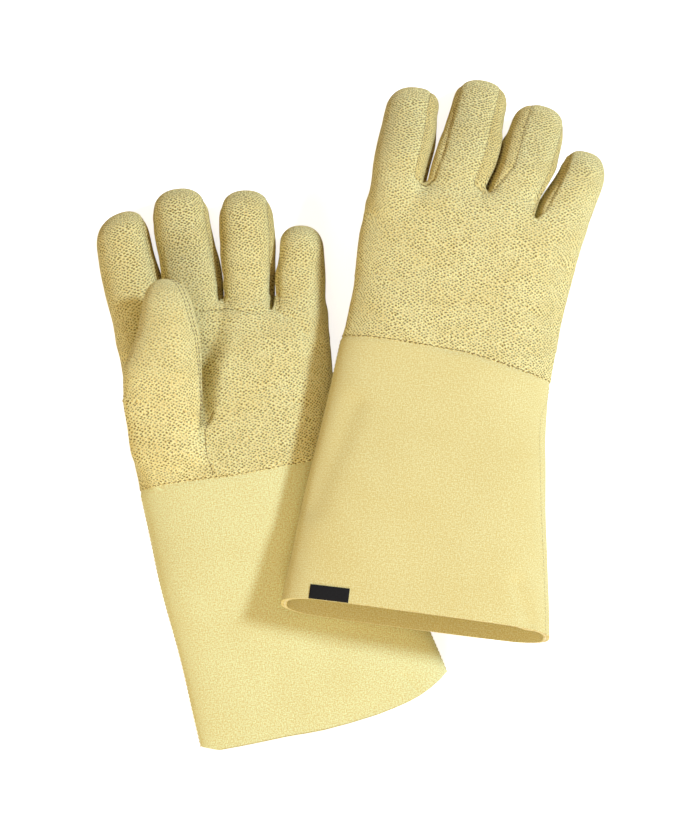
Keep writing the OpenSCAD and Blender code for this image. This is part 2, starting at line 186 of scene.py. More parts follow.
class Glove:
    """Sections of one glove along its length."""

    def __init__(self, side):
        self.side = side
        self.name = SIDES[side]
        self.palm_up = 1 if side == LEFT else -1
        self.angle = math.radians((10.0, -7.0)[side])
        self.bend = math.radians((10.5, 0.0)[side])
        hinge = next(j for j in frame["joints"] if j["name"] == f"{self.name}_thumb_swing")
        x, y = (v / MM for v in hinge["pos_m"][:2])
        c, s = math.cos(self.angle), math.sin(self.angle)
        self.wrist = (x - THUMB[0] * c + THUMB[1] * s, y - THUMB[0] * s - THUMB[1] * c)
        self.half_w = track(HALF_W[side])
        mouth, palm, finger, lower = MOUTH_H[side] / 2, PALM_H / 2, FINGER_H / 2, PRESSED[side]
        self.half_h = track([(-CUFF, mouth), (0, palm - 1.0 - lower), (40, palm - lower),
                             (85, palm - lower / 2), (112, 16.5), (126, finger)])
        if side == LEFT:
            self.mid_z = track([(-CUFF, mouth), (0, palm - 0.15), (40, palm), (85, palm), (112, 16.5),
                                (126, finger)])
        else:
            ground = min(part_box(f"{self.name}_{node}")[0][2] for node in ("cuff_palm", "cuff_back"))
            self.mid_z = track([(-CUFF, ground / MM + mouth + 1.0), (0, RIGHT_HAND_Z - lower),
                                (60, RIGHT_HAND_Z - lower), (114, RIGHT_HAND_Z),
                                (144, RIGHT_HAND_Z - 5), (227, RIGHT_HAND_Z - 43.55)])
        self.edges = [[track([(at[0], at[i]) for at in FINGERS[side][k][2]], 4.0) for i in (1, 2)]
                      for k in range(4)]
        self.turn = track([(-CUFF, 5.25), (0, 0)] if side == LEFT else [(-CUFF, 0), (0, -6.5), (50, 0)])
        # the cuff leans away from the hand below the wrist
        self.middle = track([(s, x + max(0, -s) * math.sin(self.bend)) for s, x in MIDDLE[side]])

    def place(self, points):
        """Points of the glove's plan in millimetres, put in the pair in metres."""
        p = self.turned(points)
        return (p + (*self.wrist, 0)) * MM

    def turned(self, vectors):
        c, s = math.cos(self.angle), math.sin(self.angle)
        v = np.asarray(vectors, float)
        return np.stack([v[:, 0] * c - v[:, 1] * s, v[:, 0] * s + v[:, 1] * c, v[:, 2]], 1)

    def along(self, x, y):
        """Distance from the wrist seam and distance from the middle line."""
        s = y.copy()
        for _ in range(4):
            turn = np.radians(self.turn(s))
            w = (x - self.middle(s)) / np.cos(turn)
            s = y - w * np.sin(turn)
            s = np.where(s < 0, s / math.cos(self.bend), s)
        return s, w

    def finger_edge(self, k, s, end):
        """Left (0) or right (1) edge of finger k across the glove."""
        lean = math.tan(math.radians(LEAN[self.side][k]))
        return finger_x(k) + np.maximum(-20, s - CROTCH[k]) * lean + self.edges[k][end](s)

    def filled_edge(self, k, s, end):
        """Edge of a finger, pressed against the next one where they nearly touch."""
        edge, out = self.finger_edge(k, s, end), 2 * end - 1
        if not 0 <= k + out <= 3:
            return edge
        gap = (self.finger_edge(k + out, s, 1 - end) - edge) * out
        return edge + out * PRESS_ON * smooth_step((PRESS_GAP - gap) / 2.0)

    def finger_line(self, k, s):
        return (self.finger_edge(k, s, 0) + self.finger_edge(k, s, 1)) / 2

    def slit_line(self, k, s):
        """Line between finger k and the next."""
        return (self.finger_edge(k, s, 1) + self.finger_edge(k + 1, s, 0)) / 2


# ------------------------------------------------------------- the surface

def oval(dx, dz, dy, w, h, length, power=SECTION):
    """Distance to a puffy oval tube, closed by a rounded cap where dy is above 0."""
    u = np.abs(dx) / w
    v = np.abs(dz) / h
    t = np.maximum(dy, 0) / length
    size = np.maximum((u ** power + v ** power + t ** power) ** (1 / power), 0.05)
    slope = np.sqrt((u ** (power - 1) / w) ** 2 + (v ** (power - 1) / h) ** 2
                    + (t ** (power - 1) / length) ** 2) * size ** (1 - power)
    return (size - 1) / np.maximum(slope, 0.6 / np.maximum(w, h))


def join(a, b, soft):
    """Union of two distances with a fillet."""
    h = np.maximum(soft - np.abs(a - b), 0) / soft
    return np.minimum(a, b) - h * h * soft / 4


def carve(a, b, soft):
    """What is left of a outside b, with a rounded edge."""
    return -join(-a, b, soft)


def thumb_start(x, y):
    """Distance beyond the line where the thumb comes free of the palm."""
    return (x - THUMB_START[0]) * THUMB_FACING[0] + (y - THUMB_START[1]) * THUMB_FACING[1]


def thumb_plan(x, y):
    """Distance along the thumb and across it."""
    dx, dy = x - THUMB[0], y - THUMB[1]
    t = dx * math.sin(THUMB_TURN) + dy * math.cos(THUMB_TURN)
    across = dx * math.cos(THUMB_TURN) - dy * math.sin(THUMB_TURN)
    return t, across - value_at(THUMB_SHIFT, t)


def thumb_section(t):
    """Middle and half height of the thumb, so far along it."""
    top, low = value_at(THUMB_TOP, t), value_at(THUMB_LOW, t)
    return (top + low) / 2, (top - low) / 2


def above_palm(glove, z):
    """Height out of the palm from the middle of the hand, where the thumb starts."""
    return z - PALM_H / 2 if glove.side == LEFT else glove.mid_z(THUMB[1]) - z


def thumb_field(glove, x, y, z):
    t, across = thumb_plan(x, y)
    middle, half = thumb_section(t)
    root = oval(across, above_palm(glove, z) - middle, t - (THUMB_LENGTH - THUMB_ROUND),
                value_at(THUMB_W, t), half, THUMB_ROUND)
    # the root dies away in the palm, behind where the thumb turns
    back = np.maximum(-(t + 12.0), 0) / 34.0
    return root + back * back * 30.0


def palm_dent(glove, x, y):
    """Depth of the hollow in the palm beside the folded thumb."""
    low, high = value_at(DENT_LOW, y), value_at(DENT_HIGH, y)
    # it rises again under the thumb
    slope = smooth_step((high - x) / (high - low)) * smooth_step((x + 58) / 36)
    return value_at(DENT_DEPTH, y) * (1.0, 0.45)[glove.side] * slope


def body_field(glove, x, y, z):
    s, w = glove.along(x, y)
    dz = z - glove.mid_z(s)
    facing = smooth_step(0.5 + dz * glove.palm_up / 12.0) * glove.palm_up
    dz = dz + palm_dent(glove, x, y) * facing
    # the cuff's section is fuller than the hand's
    body = oval(w, dz, s - BODY_END, glove.half_w(s), glove.half_h(s), BODY_ROUND,
                SECTION + 0.5 * smooth_step(-s / 90.0))
    fingers = None
    for k, (beyond, slant, edges) in enumerate(FINGERS[glove.side]):
        lean, crotch = math.radians(LEAN[glove.side][k]), CROTCH[k]
        low, high = glove.filled_edge(k, y, 0), glove.filled_edge(k, y, 1)
        dx = x - (low + high) / 2
        half = (high - low) / 2 * math.cos(lean)
        round_tip = (edges[-1][2] - edges[-1][1]) / 2 * 1.12
        cap = REACH[k] + beyond - round_tip
        ahead = y + dx * (math.sin(lean) * math.cos(lean) - slant)
        # the lower end of a finger sinks into the body
        sink = (1 - 0.3 * smooth_step((crotch - 8.0 - y) / 36.0)
                - 0.3 * smooth_step((crotch - 24.0 - y) / 20.0))
        finger = oval(dx * math.cos(lean), z - glove.mid_z(y), (ahead - cap) / math.cos(lean),
                      half * sink, FINGER_H / 2 * sink, round_tip)
        finger = np.maximum(finger, (crotch - FINGER_ROOT) - y)
        fingers = finger if fingers is None else join(fingers, finger, 1.6)
    both = join(body, fingers, 5.0)
    for k in range(3):
        room = np.minimum((y - CROTCH[k + 1] + 1.0 + SLIT_DEEPER[glove.side][k]) * 0.35, SLIT_ROOM)
        tilt = (z - glove.mid_z(y)) * SLIT_TILT[glove.side][k]
        both = carve(both, np.abs(x - tilt - glove.slit_line(k, y)) - room, 2.2)
    return both


def glove_field(glove, p):
    """Distance in millimetres to the outside of the glove, below 0 inside it."""
    x, y, z = p.T
    # the thumb's root flows into the palm, and the free thumb only lies on it
    soft = 0.8 + 15.0 * smooth_step(-thumb_start(x, y) / 26.0)
    return join(body_field(glove, x, y, z), thumb_field(glove, x, y, z), soft)


def surface_of(field, low, high, step):
    """Quads of the surface where field is 0, one vertex for each crossed cell."""
    axes = [np.arange(a, b + step, step) for a, b in zip(low, high)]
    grid = np.stack(np.meshgrid(*axes, indexing="ij"), -1)
    value = field(grid.reshape(-1, 3)).reshape(grid.shape[:3])
    inside = value < 0
    shape = tuple(n - 1 for n in value.shape)
    corner = [(i, j, k) for i in (0, 1) for j in (0, 1) for k in (0, 1)]
    count = sum(inside[i:i + shape[0], j:j + shape[1], k:k + shape[2]].astype(np.int8)
                for i, j, k in corner)
    cells = np.argwhere((count > 0) & (count < 8))
    total, hits = np.zeros((len(cells), 3)), np.zeros((len(cells), 1))
    for axis in range(3):
        for c in corner:
            if c[axis]:
                continue
            a = cells + c
            b = a.copy()
            b[:, axis] += 1
            va, vb = value[tuple(a.T)], value[tuple(b.T)]
            crossed = (va < 0) != (vb < 0)
            part = np.where(crossed, va / np.where(crossed, va - vb, 1), 0)[:, None]
            total += crossed[:, None] * (grid[tuple(a.T)] * (1 - part) + grid[tuple(b.T)] * part)
            hits += crossed[:, None]
    points = total / hits
    index = np.full(shape, -1)
    index[tuple(cells.T)] = np.arange(len(cells))
    quads = []
    for axis in range(3):
        a = np.moveaxis(inside, axis, 0)
        crossed = a[:-1] != a[1:]
        edge = np.argwhere(crossed[:, 1:-1, 1:-1]) + (0, 1, 1)
        leaves = a[:-1][tuple(edge.T)]
        cell = np.moveaxis(index, axis, 0)
        i, j, k = edge.T
        around = np.stack([cell[i, j - 1, k - 1], cell[i, j, k - 1], cell[i, j, k],
                           cell[i, j - 1, k]], 1)
        flip = ~leaves if axis != 1 else leaves
        around[flip] = around[flip][:, ::-1]
        quads.append(around)
    return points, np.concatenate(quads)


def sides_of(faces):
    """Pairs of vertices along the sides of triangles or quads."""
    count = faces.shape[1]
    return np.concatenate([faces[:, [i, (i + 1) % count]] for i in range(count)])


def slope_of(field, p, reach=0.4):
    """Slope of a field, from its values on both sides of each point."""
    out = np.empty_like(p)
    for axis in range(3):
        d = np.zeros(3)
        d[axis] = reach
        out[:, axis] = (field(p + d) - field(p - d)) / (2 * reach)
    return out


def settle(field, points, quads, step, rounds=3):
    """Evens the quads out and puts every vertex back on the surface."""
    edges = sides_of(quads)
    number = np.bincount(edges.ravel(), minlength=len(points))
    for turn in range(rounds + 1):
        if turn:
            mean = np.zeros_like(points)
            for axis in range(3):
                mean[:, axis] = (np.bincount(edges[:, 0], points[edges[:, 1], axis], len(points))
                                 + np.bincount(edges[:, 1], points[edges[:, 0], axis], len(points)))
            points = points * 0.5 + mean / number[:, None] * 0.5
        slope = slope_of(field, points)
        length = np.maximum((slope ** 2).sum(1), 0.2)
        move = field(points) / length
        points = points - np.clip(move, -step, step)[:, None] * slope
    return points


def cut(points, tris, value, near_enough=0.2):
    """Cuts triangles along value 0, so that no triangle has both signs. A corner
    that is close to the line moves onto it."""
    ends = np.unique(np.sort(sides_of(tris), 1), axis=0)
    value, points = value.copy(), points.copy()
    for near, other in ((0, 1), (1, 0)):
        a, b = ends[:, near], ends[:, other]
        crossed = value[a] * value[b] < 0
        part = np.where(crossed, value[a] / np.where(crossed, value[a] - value[b], 1), 1)
        close = crossed & (part < near_enough)
        a, b, part = a[close], b[close], part[close][:, None]
        points[a] = points[a] * (1 - part) + points[b] * part
        value[a] = 0
    a, b = ends.T
    crossed = value[a] * value[b] < 0
    a, b = a[crossed], b[crossed]
    part = (value[a] / (value[a] - value[b]))[:, None]
    first, size = len(points), len(points) + 1
    key = a.astype(np.int64) * size + b
    points = np.concatenate([points, points[a] * (1 - part) + points[b] * part])
    sign = np.sign(value)

    def middle(p, q):
        low, high = np.minimum(p, q).astype(np.int64), np.maximum(p, q)
        return first + np.searchsorted(key, low * size + high)

    s = sign[tris]
    mixed = (s.min(1) < 0) & (s.max(1) > 0)
    kept = [tris[~mixed]]
    tris, s = tris[mixed], s[mixed]
    for _ in range(3):
        tris, s = np.roll(tris, 1, 1), np.roll(s, 1, 1)
        through = s[:, 0] == 0
        t = tris[through]
        m = middle(t[:, 1], t[:, 2])
        kept += [np.stack([t[:, 0], t[:, 1], m], 1), np.stack([t[:, 0], m, t[:, 2]], 1)]
        tris, s = tris[~through], s[~through]
        alone = (s[:, 0] * s[:, 1] < 0) & (s[:, 0] * s[:, 2] < 0)
        t = tris[alone]
        m, n = middle(t[:, 0], t[:, 1]), middle(t[:, 0], t[:, 2])
        kept += [np.stack([t[:, 0], m, n], 1), np.stack([m, t[:, 1], n], 1),
                 np.stack([t[:, 1], t[:, 2], n], 1)]
        tris, s = tris[~alone], s[~alone]
    return points, np.concatenate(kept)


def line_where(points, tris, value, keep=None):
    """Chains of points where value crosses 0, longest first."""
    value = np.where(value == 0, 1e-9, value)
    v = value[tris]
    mixed = (v.min(1) < 0) & (v.max(1) > 0)
    if keep is not None:
        mixed &= keep
    ends = {}
    places = {}
    for t in tris[mixed]:
        pair = []
        for i in range(3):
            a, b = int(t[i]), int(t[(i + 1) % 3])
            if value[a] * value[b] < 0:
                key = (min(a, b), max(a, b))
                part = value[a] / (value[a] - value[b])
                places[key] = points[a] * (1 - part) + points[b] * part
                pair.append(key)
        for p, q in (pair, pair[::-1]):
            ends.setdefault(p, []).append(q)
    chains, used = [], set()
    starts = [k for k, n in ends.items() if len(n) == 1] + list(ends)
    for start in starts:
        if start in used:
            continue
        chain, here = [start], start
        used.add(start)
        while True:
            ahead = [n for n in ends[here] if n not in used]
            if not ahead:
                break
            here = ahead[0]
            used.add(here)
            chain.append(here)
        if start in ends[here] and len(chain) > 2:
            chain.append(start)
        if len(chain) > 3:
            chains.append(np.array([places[k] for k in chain]))
    return sorted(chains, key=len, reverse=True)


def evened(line, spacing):
    """The same line with evenly spaced points, a little smoothed."""
    for _ in range(3):
        line[1:-1] = line[1:-1] * 0.5 + (line[:-2] + line[2:]) * 0.25
    step = np.linalg.norm(np.diff(line, axis=0), axis=1)
    run = np.concatenate([[0], np.cumsum(step)])
    at = np.linspace(0, run[-1], max(2, int(round(run[-1] / spacing)) + 1))
    return np.stack([np.interp(at, run, line[:, i]) for i in range(3)], 1)


def normals_of(points, tris):
    n = np.cross(points[tris[:, 1]] - points[tris[:, 0]], points[tris[:, 2]] - points[tris[:, 0]])
    out = np.zeros_like(points)
    for axis in range(3):
        for c in range(3):
            out[:, axis] += np.bincount(tris[:, c], n[:, axis], len(points))
    return out / np.maximum(np.linalg.norm(out, axis=1), 1e-12)[:, None]


def distance_to_path(x, y, path):
    """Distance in plan from the points to a path of straight runs."""
    best = np.full(x.shape, 1e9)
    for (ax, ay), (bx, by) in zip(path[:-1], path[1:]):
        dx, dy = bx - ax, by - ay
        t = np.clip(((x - ax) * dx + (y - ay) * dy) / (dx * dx + dy * dy), 0, 1)
        best = np.minimum(best, np.hypot(x - ax - t * dx, y - ay - t * dy))
    return best


def ripple(p, size, seed, waves=14):
    """Smooth irregular field from -1 to 1 whose bumps are about size across."""
    random = np.random.default_rng(seed)
    out = np.zeros(len(p))
    for _ in range(waves):
        d = random.normal(size=3)
        d *= random.uniform(0.6, 1.3) * math.pi / size / np.linalg.norm(d)
        out += np.sin(p @ d + random.uniform(0, 2 * math.pi))
    return out / math.sqrt(waves) / 1.2


# ------------------------------------------------------------- the panels

# The seam across the palm at the base of the two middle fingers, and the seam from
# the hollow beside the thumb down to the wrist
GUNN_SEAM = [(-60, 118.5), (-3, 117.5), (15, 117.0), (25, 113.5), (46, 108.5), (90, 106)]
THUMB_SEAM = [(-5.5, 43), (-9, 38), (-12, 32), (-13.2, 24), (-13.4, 14), (-12, 6), (-11.5, 2)]
# From where along the hand the finger seams part into two, with a strip between them
STRIPS_START = 90
# How far above the middle of the palm the thumb is free of it
THUMB_FREE = 20.7


def side_seam(glove, s, w):
    """Height of the seam between back and palm above the middle of the glove."""
    if glove.side == RIGHT:
        # it turns up over the outer side of the cuff
        return 8.0 * smooth_step((w - 50.0) / 25.0) * smooth_step(-s / 25.0)
    return np.zeros_like(s)


def nearest_finger(glove, x, y):
    away = np.stack([np.abs(x - glove.finger_line(k, y)) for k in range(4)])
    return away.argmin(0)


# How far from its middle each finger's side seams lie, on the side towards the
# index finger and then on the other side: above and below. 99 where there is no strip
SEAM_AT = (
    (((99, 99), (17.0, 17)), ((19, 17), (18.0, 17)), ((18, 17), (16.4, 17)), ((16, 16), (99, 99))),
    (((99, 99), (10.8, 18)), ((16.4, 18), (12.4, 18)), ((7.8, 18), (18.5, 18)), ((12.0, 16), (99, 99))),
)


def seam_values(glove, x, y, z):
    """Above 0 on the upper panel, and below 0 on the lower one. Between them lie the
    strips of the fingers."""
    s, w = glove.along(x, y)
    m = z - glove.mid_z(s) - side_seam(glove, s, w)
    k = nearest_finger(glove, x, y)
    dx = x - np.choose(k, [glove.finger_line(i, y) for i in range(4)])
    at = np.array(SEAM_AT[glove.side], float)[k, (dx > 0).astype(int)]
    crotch = np.array(CROTCH, float)[k]
    wide = np.maximum(0, crotch - y) * 1.6
    if glove.side == RIGHT:
        # the ring finger is rolled, so that its seam runs over its back
        far = smooth_step((y - crotch - 30) / 35.0)
        near = smooth_step((crotch + 22 - y) / 20)
        wide = wide + np.where((k == 2) & (dx < 0), 1.6 * far + 4.0 * near, 0)
    upper = np.minimum(m, at[:, 0] + wide - np.abs(dx))
    lower = np.maximum(m, np.abs(dx) - at[:, 1] - wide)
    parted = y > STRIPS_START
    return np.where(parted, upper, m), np.where(parted, lower, m)


def thumb_part(glove, p):
    """Above 0 on the free thumb, which starts at the line across its root."""
    x, y, z = p.T
    free = np.minimum(thumb_start(x, y), above_palm(glove, z) - THUMB_FREE)
    return np.minimum(free, THUMB_LENGTH + 3.0 - thumb_plan(x, y)[0])


# How far the seam of the thumb runs above its middle on its inner side
THUMB_RISE = [(10, 0), (30, 2.5), (45, 4.2), (54, 5.4), (61, 6.0), (69, 7.1), (77, 7.7), (87, 7.6),
              (93, 6.9), (100, 4.9), (106, 2)]


def thumb_split(glove, p):
    """Above 0 on the thumb's front and below 0 on its back."""
    x, y, z = p.T
    t, across = thumb_plan(x, y)
    above = above_palm(glove, z) - thumb_section(t)[0]
    return above - value_at(THUMB_RISE, t) * smooth_step((across + 5.0) / 10.0)


# How far the wrist seam dips towards the mouth, across the glove
WRIST_DIP = ([(-62, 0), (-36, 0.7), (-5, 2.7), (13, 2.1), (33, 1.5), (60, 0)],
             [(-72, -1.2), (-49, -3.5), (-14, -5.6), (13, -6.6), (30, -5.6), (50, -3.9), (74, -2.2)])


def glove_values(glove, p):
    """Everything that a point needs to know to be put in a panel."""
    x, y, z = p.T
    s, w = glove.along(x, y)
    s = s + value_at(WRIST_DIP[glove.side], w) * smooth_step(1 - (np.abs(s) - 10) / 60)
    upper, lower = seam_values(glove, x, y, z)
    return {"s": s, "w": w, "upper": upper, "lower": lower,
            "thumb": thumb_part(glove, p), "split": thumb_split(glove, p)}


# How much shorter than its full length the left cuff is cut, across its mouth
LEFT_TRIM = [(-92, 12), (-86, 7.4), (-77, 3.2), (-63, 2.2), (-50, 1.4), (-30, 0.4), (-15, -1.0),
             (-4, -1.8), (15, -1.8), (35, -1.0), (49, 0.7), (58, 2.2), (66, 4.3), (75, 7.8),
             (82, 11.6), (86, 14.6), (92, 19)]
# How much shorter the right cuff's upper lip is cut than its lower lip, halved
RIGHT_TRIM = 4.2


def mouth_trim(glove, w, z):
    """How much shorter than its full length the cuff is cut, round its mouth."""
    if glove.side == LEFT:
        return value_at(LEFT_TRIM, w)
    return RIGHT_TRIM * (1 + np.clip((z - glove.mid_z(-CUFF)) / 15.0, -1, 1))


def gunn_value(glove, p, v):
    """Above 0 on the fronts of the two middle fingers, which are set in above the palm."""
    x, y = p[:, 0], p[:, 1]
    inside = np.minimum(x - glove.slit_line(0, y), glove.slit_line(2, y) - x)
    ahead = y - value_at(GUNN_SEAM, x)
    palm = v["upper"] > 0 if glove.palm_up > 0 else v["lower"] < 0
    return np.where(palm & (v["thumb"] <= 0), np.minimum(inside, ahead), -1.0)


# Space that holds a glove in its own plan, where a layer without seams starts, and the
# least height of the cloth above the floor
SPACE = ((-110, -196, -4), (132, 226, 74))
LAYER_START = -14
OFF_FLOOR = 0.05


def glove_skin(glove, grow, step, seams=True):
    """The glove's surface, cut at its mouth, its wrist, its free thumb and its seams."""
    def field(p):
        return glove_field(glove, p) - grow

    def value(key, p):
        v = glove_values(glove, p)
        if key == "mouth":
            return v["s"] + CUFF - mouth_trim(glove, v["w"], p[:, 2])
        if key == "gunn":
            g = gunn_value(glove, p, v)
            return np.where(g == -1.0, 1.0, g)
        if key in ("upper", "lower"):
            return np.where(v["thumb"] > 0, v["split"], v[key])
        return v[key]

    (left, mouth, low), high = SPACE
    points, quads = surface_of(field, (left, mouth if seams else LAYER_START, low), high, step)
    points = settle(field, points, quads, step)
    tris = np.concatenate([quads[:, [0, 1, 2]], quads[:, [0, 2, 3]]])
    for key in ("mouth", "thumb", "s") + (("upper", "lower", "gunn") if seams else ()):
        points, tris = cut(points, tris, value(key, points))
        if key == "mouth":
            tris = tris[value(key, points[tris].mean(1)) > 0]
    used, back = np.unique(tris, return_inverse=True)
    return points[used], back.reshape(-1, 3)


PANELS = ("back_panel", "palm_panel", "two_finger_front", "fourchette_1", "fourchette_2",
          "fourchette_3", "thumb_front", "thumb_back", "cuff_back", "cuff_palm")


def panel_numbers(glove, centres):
    """Which of PANELS each place on the surface belongs to."""
    v = glove_values(glove, centres)
    x, y = centres[:, 0], centres[:, 1]
    upper, lower = v["upper"] > 0, v["lower"] < 0
    palm = upper if glove.palm_up > 0 else lower
    number = np.where(palm, 1, 0)
    number = np.where(gunn_value(glove, centres, v) > 0, 2, number)
    which = 3 + (x > glove.finger_line(1, y)).astype(int) + (x > glove.finger_line(2, y))
    number = np.where(~upper & ~lower, which, number)
    number = np.where(v["s"] < 0, np.where(palm, 9, 8), number)
    return np.where(v["thumb"] > 0, np.where(v["split"] > 0, 6, 7), number)


def cloth_coords(glove, p, n):
    """Place on the laid-out cloth, in metres, so that its pattern isn't stretched on
    the sides: the drop below the top of the section is added to the plan."""
    x, y, z = p.T
    s = glove.along(x, y)[0]
    middle, thumb_half = thumb_section(thumb_plan(x, y)[0])
    off = z - glove.mid_z(s)
    off = np.abs(off + palm_dent(glove, x, y) * (off * glove.palm_up > 0) * glove.palm_up)
    half = glove.half_h(s)
    half = half + (FINGER_H / 2 - half) * smooth_step((y - STRIPS_START) / 45)
    drop = np.where(thumb_part(glove, p) > 0, thumb_half - np.abs(above_palm(glove, z) - middle),
                    half - off)
    level = np.maximum(np.hypot(n[:, 0], n[:, 1]), 0.05)
    drop = np.maximum(drop, 0) * smooth_step((level - 0.12) / 0.4) / level
    return np.stack([x + drop * n[:, 0], y + drop * n[:, 1]], 1) * MM


# Creases of the side that lies up: their paths, depth and width
CREASES = (
    (([(50, 110), (54.6, 104.6), (59.7, 101.6), (64.4, 95.7), (68, 88)], 1.4, 2.2),
     ([(94, -154), (100.5, -163.6), (106, -171)], 0.7, 1.6)),
    (([(66, -146), (71.7, -159.5), (77, -170)], 1.2, 5.0),
     ([(-58, -40), (-62, -60), (-69, -84), (-76, -112)], 1.6, 9.0)),
)


def dip(away, deep, wide):
    """Depth of a groove, so far away from its bottom."""
    return deep * np.exp(-(away / wide) ** 2)


def relief(glove, p, v):
    """How far the cloth stands out or dips, from its slack and its seams."""
    x, y, z = p.T
    # the knit is a little uneven, and the cuff's cloth lies in longer waves
    cuff = smooth_step((4.0 - v["s"]) / 8.0)
    slack = ripple(p, 34.0, 11 + glove.side) * 0.5 + ripple(p, 13.0, 21 + glove.side) * 0.14
    loose = ripple(p, 58.0, 31 + glove.side) * 0.7 + ripple(p, 24.0, 41 + glove.side) * 0.15
    out = slack * (1 - cuff) + loose * cuff
    # each seam draws the cloth in, more at some stitches than at others
    pucker = 1 + 0.4 * ripple(p, 4.5, 51)
    out -= pucker * dip(v["s"], (0.45, 0.6)[glove.side], 1.5)
    # the hand's allowance pads its side of the wrist seam
    out += 0.5 * smooth_step(v["s"] / 2.0) * np.exp(-np.maximum(v["s"], 0) / 5.0)
    front = (z - glove.mid_z(y)) * glove.palm_up > 5
    out -= pucker * front * dip(distance_to_path(x, y, THUMB_SEAM), 0.7, 1.1)
    middle = smooth_step((x + 22) / 8) * smooth_step((62 - x) / 40) * (v["thumb"] <= 0)
    out -= pucker * front * middle * dip(y - value_at(GUNN_SEAM, x), 1.5, np.where(y > 112, 1.2, 1.6))
    for path, deep, wide in CREASES[glove.side]:
        out -= (z > glove.mid_z(y)) * dip(distance_to_path(x, y, path), deep, wide)
    near = np.minimum(np.abs(v["upper"]), np.abs(v["lower"]))
    near = np.where(v["thumb"] > 0, np.abs(v["split"]), near)
    return out - pucker * (v["s"] > 2) * dip(near, 0.9, 1.5)


_skins, _materials = {}, {}


class Cloth:
    """A surface that pieces are cut from: its points and triangles, its normals, the
    place of each point on the laid-out cloth, and how open the knit is there, with
    painted shade at the fingertips."""

    def __init__(self, glove, points, tris, cloth=None):
        self.glove, self.points, self.tris = glove, points, tris
        self.normals = normals_of(points, tris)
        self.cloth = cloth_coords(glove, points, self.normals) if cloth is None else cloth
        self.open = np.ones(len(points))


class Sewn(Cloth):
    """The finished outer surface of one glove, which its panels and stitches share."""

    def __init__(self, side):
        glove = Glove(side)
        flat, tris = glove_skin(glove, 0.0, length_of("mesh_step"))
        self.value = glove_values(glove, flat)
        self.panel = panel_numbers(glove, flat[tris].mean(1))
        normals = normals_of(flat, tris)
        slack = relief(glove, flat, self.value) * bpy.context.scene.gloves_sizes.slack
        points = flat + normals * slack[:, None]
        points[:, 2] = np.maximum(points[:, 2], OFF_FLOOR)
        super().__init__(glove, points, tris, cloth_coords(glove, flat, normals))
        # the knit lies closer on the thumb, and towards the fingertips its pinholes are painted darker:
        # painted shade of the tilted knit
        along_thumb = thumb_plan(flat[:, 0], flat[:, 1])[0]
        closer = 0.22 * smooth_step((along_thumb - 5) / 60)
        tip_shade = 0.6 * smooth_step((self.value["s"] - 120) / 60)
        self.open = np.where(self.value["thumb"] > 0, 1.0 - closer, 1.0 + tip_shade)

    def panel_tris(self, panel):
        return self.tris[self.panel == PANELS.index(panel)]

    def on_faces(self, key):
        """A value in the middle of each triangle."""
        return self.value[key][self.tris].mean(1)

    def path_line(self, path, lift=0.1):
        """A path in the plan of the palm, laid on the surface."""
        up = self.glove.palm_up
        faces = self.tris[self.normals[self.tris].mean(1)[:, 2] * up > 0]
        tree = BVHTree.FromPolygons(self.points.tolist(), faces.tolist())
        steps = np.linspace(0, len(path) - 1, 90)
        line = []
        for x, y in zip(*(np.interp(steps, range(len(path)), c) for c in zip(*path))):
            hit = tree.ray_cast(Vector((x, y, 100 * up)), Vector((0, 0, -up)))[0]
            if hit is not None:
                line.append((x, y, hit.z + lift * up))
        return np.array(line)

    def line(self, key, at, keep=None, lift=0.1, shortest=12.0):
        """Lines on the surface where a value is so much."""
        chains = line_where(self.points + self.normals * lift, self.tris, self.value[key] - at, keep)
        return [c for c in chains if np.linalg.norm(np.diff(c, axis=0), axis=1).sum() > shortest]


def sewn(side):
    """The outer surface of a glove, made when it is first needed."""
    if side not in _skins:
        _skins[side] = Sewn(side)
    return _skins[side]


def thick(points, normals, tris, depth):
    """Closed shell of a panel: its outer face, its inner face and its edges."""
    count = len(points)
    edges = sides_of(tris)
    _, index, number = np.unique(np.sort(edges, 1), axis=0, return_index=True, return_counts=True)
    faces = tris.tolist() + (tris[:, ::-1] + count).tolist()
    faces += [(b, a, a + count, b + count) for a, b in edges[index[number == 1]].tolist()]
    return np.concatenate([points, points - normals * depth]), faces


def new_object(name, points, faces, finish, edges=()):
    mesh = bpy.data.meshes.new(name)
    mesh.from_pydata(np.asarray(points).tolist(), list(edges), faces)
    mesh.materials.append(finish)
    obj = bpy.data.objects.new(name, mesh)
    bpy.context.scene.collection.objects.link(obj)
    return obj


def cloth_piece(skin, name, tris, depth, finish, nodes, sunk=0.0, thumb=False):
    """One piece of cloth with its thickness, lying so far below the glove's surface."""
    glove = skin.glove
    used, back = np.unique(tris, return_inverse=True)
    normals, cloth, holes = skin.normals[used], skin.cloth[used], skin.open[used]
    shell, faces = thick(skin.points[used] - normals * sunk, normals, back.reshape(-1, 3), depth)
    obj = new_object(f"{glove.name}_{name}", glove.place(shell), faces, material(finish))
    mesh = obj.data
    corner = np.empty(len(mesh.loops), np.int32)
    mesh.loops.foreach_get("vertex_index", corner)
    uv = mesh.uv_layers.new(name="cloth")
    uv.data.foreach_set("uv", np.concatenate([cloth, cloth])[corner].astype(np.float32).ravel())
    # the open attribute holds how open the knit is, and painted shade at the fingertips
    attribute = mesh.attributes.new("open", "FLOAT", "POINT")
    attribute.data.foreach_set("value", np.concatenate([holes, holes]).astype(np.float32))
    mesh.shade_smooth()
    # the skin's own normals on both faces, and flat ones on the edges
    turned = glove.turned(np.concatenate([normals, -normals]))[corner]
    first = 6 * len(tris)
    rim = glove.turned(shell)[corner[first:]].reshape(-1, 4, 3)
    rim = np.cross(rim[:, 2] - rim[:, 0], rim[:, 3] - rim[:, 1])
    turned[first:] = np.repeat(rim / np.maximum(np.linalg.norm(rim, axis=1), 1e-9)[:, None], 4, 0)
    mesh.normals_split_custom_set(turned.tolist())
    ride(glove, obj, nodes, thumb)
    return obj


